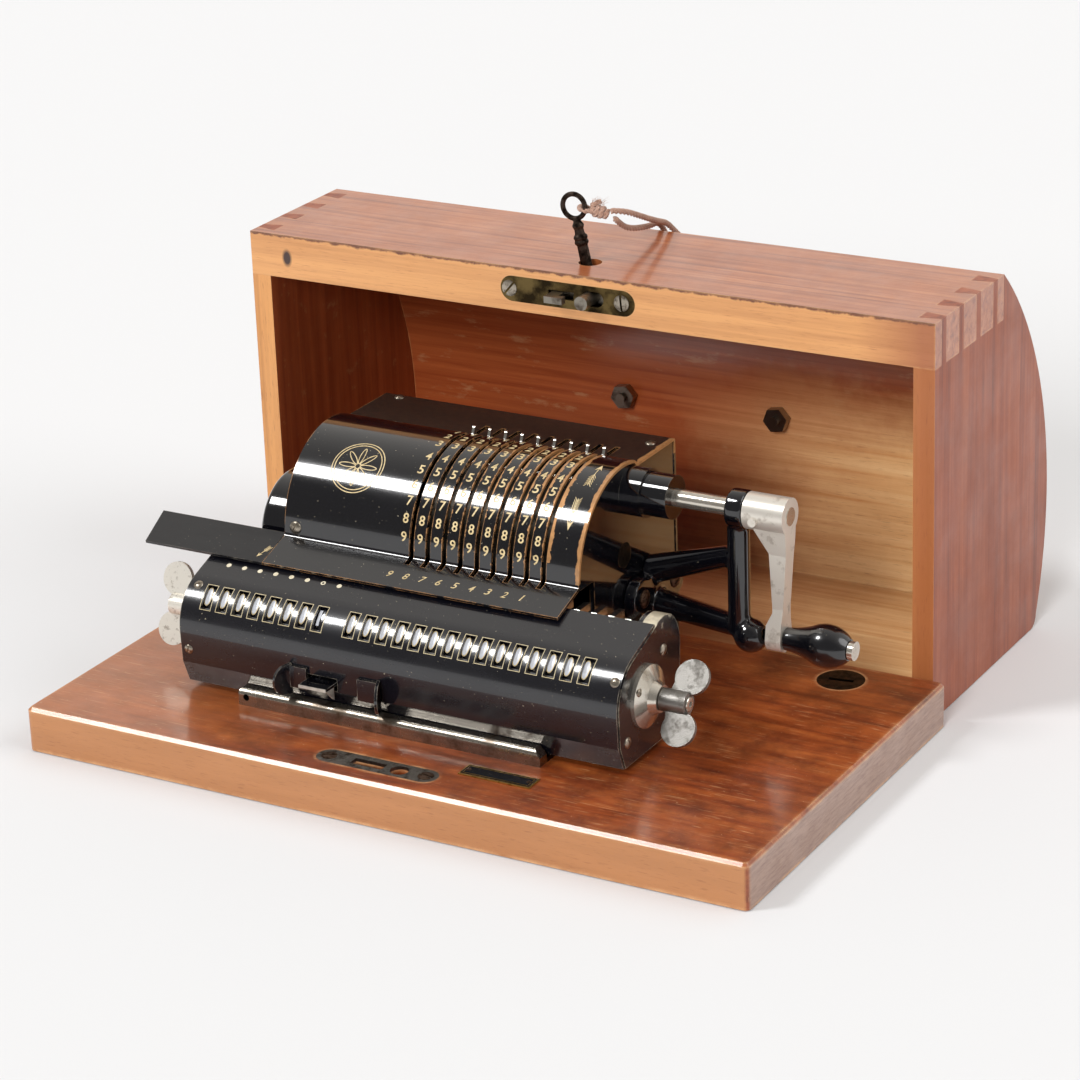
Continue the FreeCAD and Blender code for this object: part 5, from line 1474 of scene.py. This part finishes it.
@dataclass
class Key:
    """Iron key: forged ring, collared stem and bit, leaning in the keyhole."""

    foot_mm: Point = (-5.9, 122.5, 181.65)
    lean: float = 12.0
    ring_at: float = 38.1
    ring_major: float = 5.9
    ring_minor: float = 1.25
    stem: tuple[Flat, ...] = (
        (0.0, -3.4), (2.3, -3.4), (2.7, -3.0), (2.7, 10.0), (2.55, 19.4), (3.2, 20.0), (3.45, 20.8),
        (3.2, 21.6), (2.7, 22.0), (3.3, 22.5), (3.45, 23.2), (3.1, 24.0), (2.4, 24.6), (2.2, 27.0),
        (2.6, 28.0), (2.9, 28.7), (2.6, 29.5), (2.0, 30.4), (1.7, 31.6), (1.3, 32.8), (0.0, 33.0),
    )

    def build(self) -> None:
        """Build the key in place of its CAD node."""
        select_only(None)
        bpy.ops.mesh.primitive_torus_add(
            major_radius=self.ring_major, minor_radius=self.ring_minor, major_segments=56, minor_segments=16,
            location=(0.0, 0.0, self.ring_at), rotation=(math.pi / 2, 0.0, 0.0),
        )
        ring = bpy.context.object
        bpy.ops.object.transform_apply()
        stem = turned(self.stem)
        bit = block((4.6, 0.0, -0.2), (6.0, 2.0, 4.8), 0.3)
        whole = joined([stem, ring, bit])
        modify(whole, "REMESH", mode="VOXEL", voxel_size=0.3)
        modify(whole, "SMOOTH", factor=0.5, iterations=5)
        place = Matrix.Translation(Vector(self.foot_mm) * MM)
        leaning = Matrix.Rotation(-math.radians(self.lean), 4, "Y")
        whole.data.transform(place @ leaning @ Matrix.Scale(MM, 4))
        smooth(whole, 60.0)
        settle(whole, "key_forged", Finish.IRON, "key")
        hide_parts("key")


@dataclass
class Screws:
    """Slotted screws, each kind turned once with its slot cut, then copied."""

    template_r: float = 2.0

    def head(self, dome: float = 0.6) -> bpy.types.Object:
        """Turn one screw head with a slot.

        Args:
            dome: height of its dome.

        Returns:
            The template, in millimetres.
        """
        r = self.template_r
        profile = [(0.0, -0.5), (r, -0.5), (r, 0.05), (0.97 * r, 0.2)]
        profile += [(r * share, 0.2 + dome * (1.0 - share * share)) for share in (0.85, 0.6, 0.3)]
        profile.append((0.0, 0.2 + dome))
        screw = turned(profile, 28)
        cutter = block((0.0, 0.0, dome + 0.2), (3 * r, 0.26 * r, 1.0), 0.05, 1)
        modify(screw, "BOOLEAN", object=cutter, operation="DIFFERENCE", solver="EXACT")
        bpy.data.objects.remove(cutter)
        smooth(screw, 35.0)
        return screw

    def drive(self, name: str, finish: Finish, body: str, places: list[tuple[Point, Point, float, float]],
              dome: float = 0.6) -> None:
        """Drive a set of screws.

        Args:
            name: the piece's name.
            finish: its finish.
            body: the body it rides on.
            places: place, direction, radius and turn of each, in millimetres and degrees.
            dome: height of the dome at the template's radius.
        """
        matrices = []
        for at, normal, radius, turn in places:
            size = radius / self.template_r
            matrices.append(stance(at, normal, math.radians(turn)) @ Matrix.Scale(size, 4))
        whole = copies(self.head(dome), matrices)
        smooth(whole, 35.0)
        settle(whole, name, finish, body)


@dataclass
class Body:
    """The body of the machine: figures beside the slots, arrows, a plain ring and the frame's screws."""

    drum: Flat = (36.8, 86.2)
    cover_r: float = 43.6
    column_1: float = 37.5
    pitch: float = 8.6
    figure_left: float = 4.3
    rows: tuple[float, ...] = (101.3, 90.5, 79.7, 66.5, 55.6, 45.2, 34.6, 23.9, 12.7)
    skirt_tip: Flat = (-27.0, 80.0)
    skirt_slope: float = 17.8
    band_x: float = 47.0
    ring_x: float = -68.0
    ring_at: float = 50.5
    hand_x: float = -103.2
    badge_at: Point = (49.85, -73.0, 22.1)
    badge_size: Point = (35.9, 10.0, 0.7)

    def skirt_back(self) -> Flat:
        """Return a point further up the skirt's slope."""
        slope = math.radians(self.skirt_slope)
        return (self.skirt_tip[0] + 10.0 * math.cos(slope), self.skirt_tip[1] + 10.0 * math.sin(slope))

    def figures(self) -> None:
        """Paint the figures 1 to 9 beside each slot and the column numbers on the skirt."""
        decals = Decals()
        shapes = [glyph(str(n), 2.9, 4.7) for n in range(1, 10)]
        small = [glyph(str(n), 2.4, 4.0, 0.004) for n in range(1, 10)]
        for column in range(1, 10):
            x = self.column_1 - self.pitch * (column - 1) - self.figure_left
            for shape, degrees in zip(shapes, self.rows):
                decals.lay(shape, round_axis(self.drum, self.cover_r, x, degrees))
            foot = on_slope(self.skirt_tip, self.skirt_back(), x, 8.3, lean=0.22)
            decals.lay(small[column - 1], foot)
        decals.build("cover_figures", Finish.FIGURE, "frame")

    def arrows(self) -> None:
        """Paint the two feathered arrows, the plain ring and the pointer on the extension plate."""
        decals = Decals()
        up = arrow(16.5, 3.4)
        down = up.copy()
        down.transform(Matrix.Rotation(math.pi, 4, "Z"))
        decals.lay(up, round_axis(self.drum, self.cover_r, self.band_x + 0.5, 74.0))
        decals.lay(down, round_axis(self.drum, self.cover_r, self.band_x - 0.3, 44.0))
        for size in (27.0, 24.2):
            ring = oval(size, size, 0.45, 64)
            decals.lay(ring, round_axis(self.drum, self.cover_r, self.ring_x, self.ring_at))
        petal = oval(2.6, 9.2, 0.4, 20)
        for number in range(8):
            leaf = petal.copy()
            turn = Matrix.Rotation(number * math.pi / 4, 4, "Z")
            leaf.transform(turn @ Matrix.Translation((0.0, 5.6, 0.0)))
            decals.lay(leaf, round_axis(self.drum, self.cover_r, self.ring_x, self.ring_at))
        hand = arrow(9.0, 2.4)
        hand.transform(Matrix.Rotation(math.radians(158.0), 4, "Z"))
        decals.lay(hand, on_slope(self.skirt_tip, self.skirt_back(), self.hand_x, 7.5, 0.06))
        decals.build("cover_arrows_and_ring", Finish.FIGURE, "frame")

    def badge(self) -> None:
        """Set the small bare plate with a bright border on the board."""
        x, y, top = self.badge_at
        wide, deep, thick = self.badge_size
        plate = block((x, y, top - thick / 2), self.badge_size, 0.15)
        plate.data.transform(Matrix.Scale(MM, 4))
        settle(plate, "board_badge_border", Finish.GILT, "frame")
        front, back = (y - deep / 2, top), (y + deep / 2, top)
        for name, finish, margin, line, lift in (
            ("board_badge_field", Finish.JAPAN, 1.6, 0.0, 0.06),
            ("board_badge_line", Finish.GILT, 3.1, 0.3, 0.12),
        ):
            sheet = Decals()
            shape = panel(wide - margin, deep - margin, line)
            sheet.lay(shape, on_slope(front, back, x, deep / 2, lift))
            sheet.build(name, finish, "frame")

    def screws(self) -> None:
        """Drive the screws of body, bracket, board and badge."""
        low = math.radians(6.0)
        y = self.drum[0] - self.cover_r * math.cos(low)
        z = self.drum[1] + self.cover_r * math.sin(low)
        up = (0.0, 0.0, 1.0)
        right = (1.0, 0.0, 0.0)
        places = [
            ((48.7, 76.2, 126.0), up, 2.6, 25.0),
            ((-90.7, 83.5, 126.0), up, 2.6, 70.0),
            ((-94.0, y, z), (0.0, -math.cos(low), math.sin(low)), 3.1, 60.0),
        ]
        Screws().drive("body_screws", Finish.SCREW, "frame", places)
        feet = [((61.0, 44.0, 63.0), right, 4.4, 70.0), ((61.0, 74.0, 62.0), right, 4.4, 35.0)]
        Screws().drive("bracket_screws", Finish.RUSTY, "frame", feet)
        board = [
            ((-29.7, -85.6, 21.35), up, 3.7, 20.0), ((20.3, -85.6, 21.35), up, 3.7, 165.0),
            ((34.6, -73.0, 22.2), up, 1.3, 40.0), ((65.1, -73.0, 22.2), up, 1.3, 100.0),
        ]
        Screws().drive("board_screws", Finish.RUSTY, "frame", board, 0.15)

    def bracket(self, node: bpy.types.Object) -> None:
        """Round the cast bracket's joints, as one iron casting, in place of its CAD node.

        Args:
            node: the CAD node's object.
        """
        copy = put("crank_bracket_cast", node.data.copy())
        copy.data.transform(node.matrix_world)
        with editing(copy):
            bpy.ops.mesh.remove_doubles(threshold=0.00001)
        modify(copy, "REMESH", mode="VOXEL", voxel_size=0.0007)
        modify(copy, "SMOOTH", factor=0.5, iterations=14)
        smooth(copy, 75.0)
        settle(copy, "crank_bracket_cast", Finish.ENAMEL, "frame")
        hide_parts("crank_bracket")

    def build(self, nodes: dict) -> None:
        """Build the details.

        Args:
            nodes: the CAD nodes.
        """
        self.figures()
        self.arrows()
        self.badge()
        self.screws()
        self.bracket(nodes["crank_bracket"])


@dataclass
class Carriage:
    """The carriage: numerals on its wheels, window outlines, dots and screws."""

    register: Flat = (-27.2, 51.0)
    rim_r: float = 22.95
    rim_half: float = 4.0
    aside: float = 1.7
    wheel_face: float = 42.0
    front: Flat = (-53.3, 50.3)
    curve: Flat = (-49.2, 64.6)
    shoulder: Flat = (-37.2, 73.5)
    rear: Flat = (-16.9, 80.7)
    pitch: float = 8.6
    result_x: float = 80.5
    results: int = 15
    counter_x: float = -56.8
    counters: int = 8
    window_w: float = 5.2
    window_z: Flat = (62.6, 71.2)
    ends_x: Flat = (-130.3, 98.8)
    knobs_x: Flat = (-151.8, 120.3)
    flange_screw_r: float = 12.0

    def numerals(self) -> None:
        """Enamel the ten figures round each wheel: noughts show, each filled with a painted reflection of the
        lamp, and a one on the first counter wheel.
        """
        outline = oval(3.9, 9.0, 0.42, 28)
        # Painted reflection: a pale oval that stands for the lamp's reflection inside each nought.
        painted_reflection = oval(3.0, 8.1, 0.0, 28)
        shapes = {n: glyph(str(n), 3.0, 7.4) for n in range(1, 10)}
        r, half = self.rim_r, self.rim_half
        hoop = [
            (r - 1.2, -half), (r - 0.1, -half), (r, 0.15 - half), (r, half - 0.15), (r - 0.1, half),
            (r - 1.2, half), (r - 1.2, -half),
        ]
        for name, first, count, body in (
            ("result", self.result_x, self.results, "result_register"),
            ("counter", self.counter_x, self.counters, "counter_register"),
        ):
            white = Decals()
            gold = Decals()
            for place in range(count):
                x = first - self.pitch * place
                shown = 1 if name == "counter" and place == 0 else 0
                for digit in range(10):
                    degrees = self.wheel_face - 36.0 * ((digit - shown) % 10)
                    placer = round_axis(self.register, self.rim_r, x - self.aside, degrees)
                    if digit:
                        white.lay(shapes[digit], placer)
                    else:
                        gold.lay(outline, placer)
                        white.lay(painted_reflection, placer)
            white.build(name + "_numerals", Finish.NUMERAL, body)
            gold.build(name + "_numeral_lines", Finish.FIGURE, body)
            middles = [(first - self.pitch * place, *self.register) for place in range(count)]
            rims = copies(turned(hoop, 60), [stance(at, (1.0, 0.0, 0.0)) for at in middles])
            smooth(rims, 40.0)
            settle(rims, name + "_numeral_rims", Finish.JAPAN, body)

    def outlines(self) -> None:
        """Paint a fine line round each window and the dots over the counter."""
        centre, radius = circle_through(self.front, self.curve, self.shoulder)
        low, high = [math.asin((z - centre[1]) / radius) for z in self.window_z]
        middle = math.degrees((low + high) / 2)
        tall = (high - low) * radius
        frame_shape = panel(self.window_w + 0.9, tall + 0.9, 0.28)
        line = Decals()
        places = [self.result_x - self.pitch * n for n in range(self.results)]
        places += [self.counter_x - self.pitch * n for n in range(self.counters)]
        for x in places:
            line.lay(frame_shape, round_axis(centre, radius, x, middle, 0.02))
        line.build("window_lines", Finish.OUTLINE, "carriage")
        dots = Decals()
        for number in range(self.counters):
            shape = oval(2.5, 2.5, 0.6 if number == 1 else 0.0, 20)
            x = self.counter_x - self.pitch * number
            dots.lay(shape, on_slope(self.shoulder, self.rear, x, 8.7))
        dots.build("counter_dots", Finish.CREAM, "carriage")

    def screws(self) -> None:
        """Drive the carriage's screws."""
        centre, radius = circle_through(self.front, self.curve, self.shoulder)
        places = []
        for x, z in ((96.7, 65.3), (-123.7, 70.7)):
            angle = math.asin((z - centre[1]) / radius)
            normal = (0.0, -math.cos(angle), math.sin(angle))
            at = (x - 1.2, centre[0] - radius * math.cos(angle), z)
            places.append((at, normal, 2.3, 30.0))
        places.append(((-125.9, -52.9, 42.1), (0.0, -1.0, -0.05), 2.3, 75.0))
        for side, x in ((-1.0, self.ends_x[0]), (1.0, self.ends_x[1])):
            for (y, z), turn in (((-10.1, 66.2), 40.0), ((-44.8, 35.6), 100.0)):
                places.append(((x, y, z), (side, 0.0, 0.0), 2.7, turn))
            for degrees, turn in ((-60.0, 20.0), (120.0, 75.0)):
                angle = math.radians(degrees)
                y = self.register[0] + self.flange_screw_r * math.sin(angle)
                z = self.register[1] + self.flange_screw_r * math.cos(angle)
                places.append(((x + side * 2.6, y, z), (side, 0.0, 0.0), 2.0, turn))
        Screws().drive("carriage_screws", Finish.SCREW, "carriage", places)

    def knobs(self) -> None:
        """Give each wing nut its hollow end."""
        y, z = self.register
        ring = [(1.4, -1.2), (1.4, 0.35), (2.3, 0.35), (3.1, 0.25), (3.4, -0.1), (3.4, -1.2), (1.4, -1.2)]
        for name, side, end, body in (
            ("result", 1.0, self.knobs_x[1], "result_register"),
            ("counter", -1.0, self.knobs_x[0], "counter_register"),
        ):
            sleeve = copies(turned(ring, 32), [stance((end, y, z), (side, 0.0, 0.0))])
            smooth(sleeve, 40.0)
            settle(sleeve, name + "_knob_ring", Finish.NICKEL, body)

    def build(self) -> None:
        """Build the details."""
        self.numerals()
        self.outlines()
        self.screws()
        self.knobs()


@dataclass
class Case:
    """The wooden case: screws of the lock plate."""

    plate_y: float = 102.5
    lock_z: float = 181.65
    screw_x: Flat = (-38.7, 21.0)

    def build(self) -> None:
        """Build the details."""
        turns = (50.0, 95.0)
        forward = (0.0, -1.0, 0.0)
        y = self.plate_y + 0.15
        places = [((x, y, self.lock_z), forward, 4.0, turn) for x, turn in zip(self.screw_x, turns)]
        Screws().drive("lock_screws", Finish.SCREW, "case", places, 0.25)


NODE_FINISHES: dict[Finish, list[str]] = {
    Finish.BOARD: ["base_board"],
    Finish.STRIKE: ["board_plates"],
    Finish.BRASS: ["lock_body"],
    Finish.COVER: ["body_cover"],
    Finish.PLATE: ["extension_plate"],
    Finish.LATCH: ["shift_latch"],
    Finish.JAPAN: ["back_cover", "side_plate_right", "side_plate_left", "result_wheels", "counter_wheels"],
    Finish.ENAMEL: ["left_housing", "crank_boss", "crank_bracket", "machine_bed"],
    Finish.CARRIAGE: ["carriage_cover", "finger_grips"],
    Finish.ENDS: ["carriage_ends"],
    Finish.STEEL: ["carriage_rail"],
    Finish.IRONWORK: ["rear_rail", "case_handle", "case_hardware", "lock_bolt"],
    Finish.DARK_STEEL: ["pinwheels", "carry_discs", "drum_shaft", "counter_finger", "train_idler", "tie_rods",
                        "carry_arbor", "carriage_floor", "drive_pins"],
    Finish.LEVER: ["carry_levers"] + ["setting_ring_%d" % n for n in range(1, 10)],
    Finish.NICKEL: ["crank_shaft", "handle_spindle", "shaft_flanges"],
    Finish.ARM: ["crank_arm"],
    Finish.BLADE: ["result_wing_nut"],
    Finish.BLADE_WORN: ["counter_wing_nut"],
    Finish.GRIP: ["handle_grip"],
    Finish.IRON: ["key"],
    Finish.CASE: ["case_front", "case_back", "case_roof"],
    Finish.CASE_END: ["case_ends"],
}


def main() -> None:
    """Build the scene."""
    logging.basicConfig(level=logging.INFO, format="%(name)s: %(message)s")
    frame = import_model()
    select_only(None)
    Studio().build()
    Twine().build()
    nodes = frame["nodes"]
    for finish, names in NODE_FINISHES.items():
        for name in names:
            dress(nodes[name], finish)
            LOG.info("%s takes %s", name, finish.value.name)
    Key().build()
    Body().build(nodes)
    Carriage().build()
    Case().build()


if __name__ == "__main__":
    main()
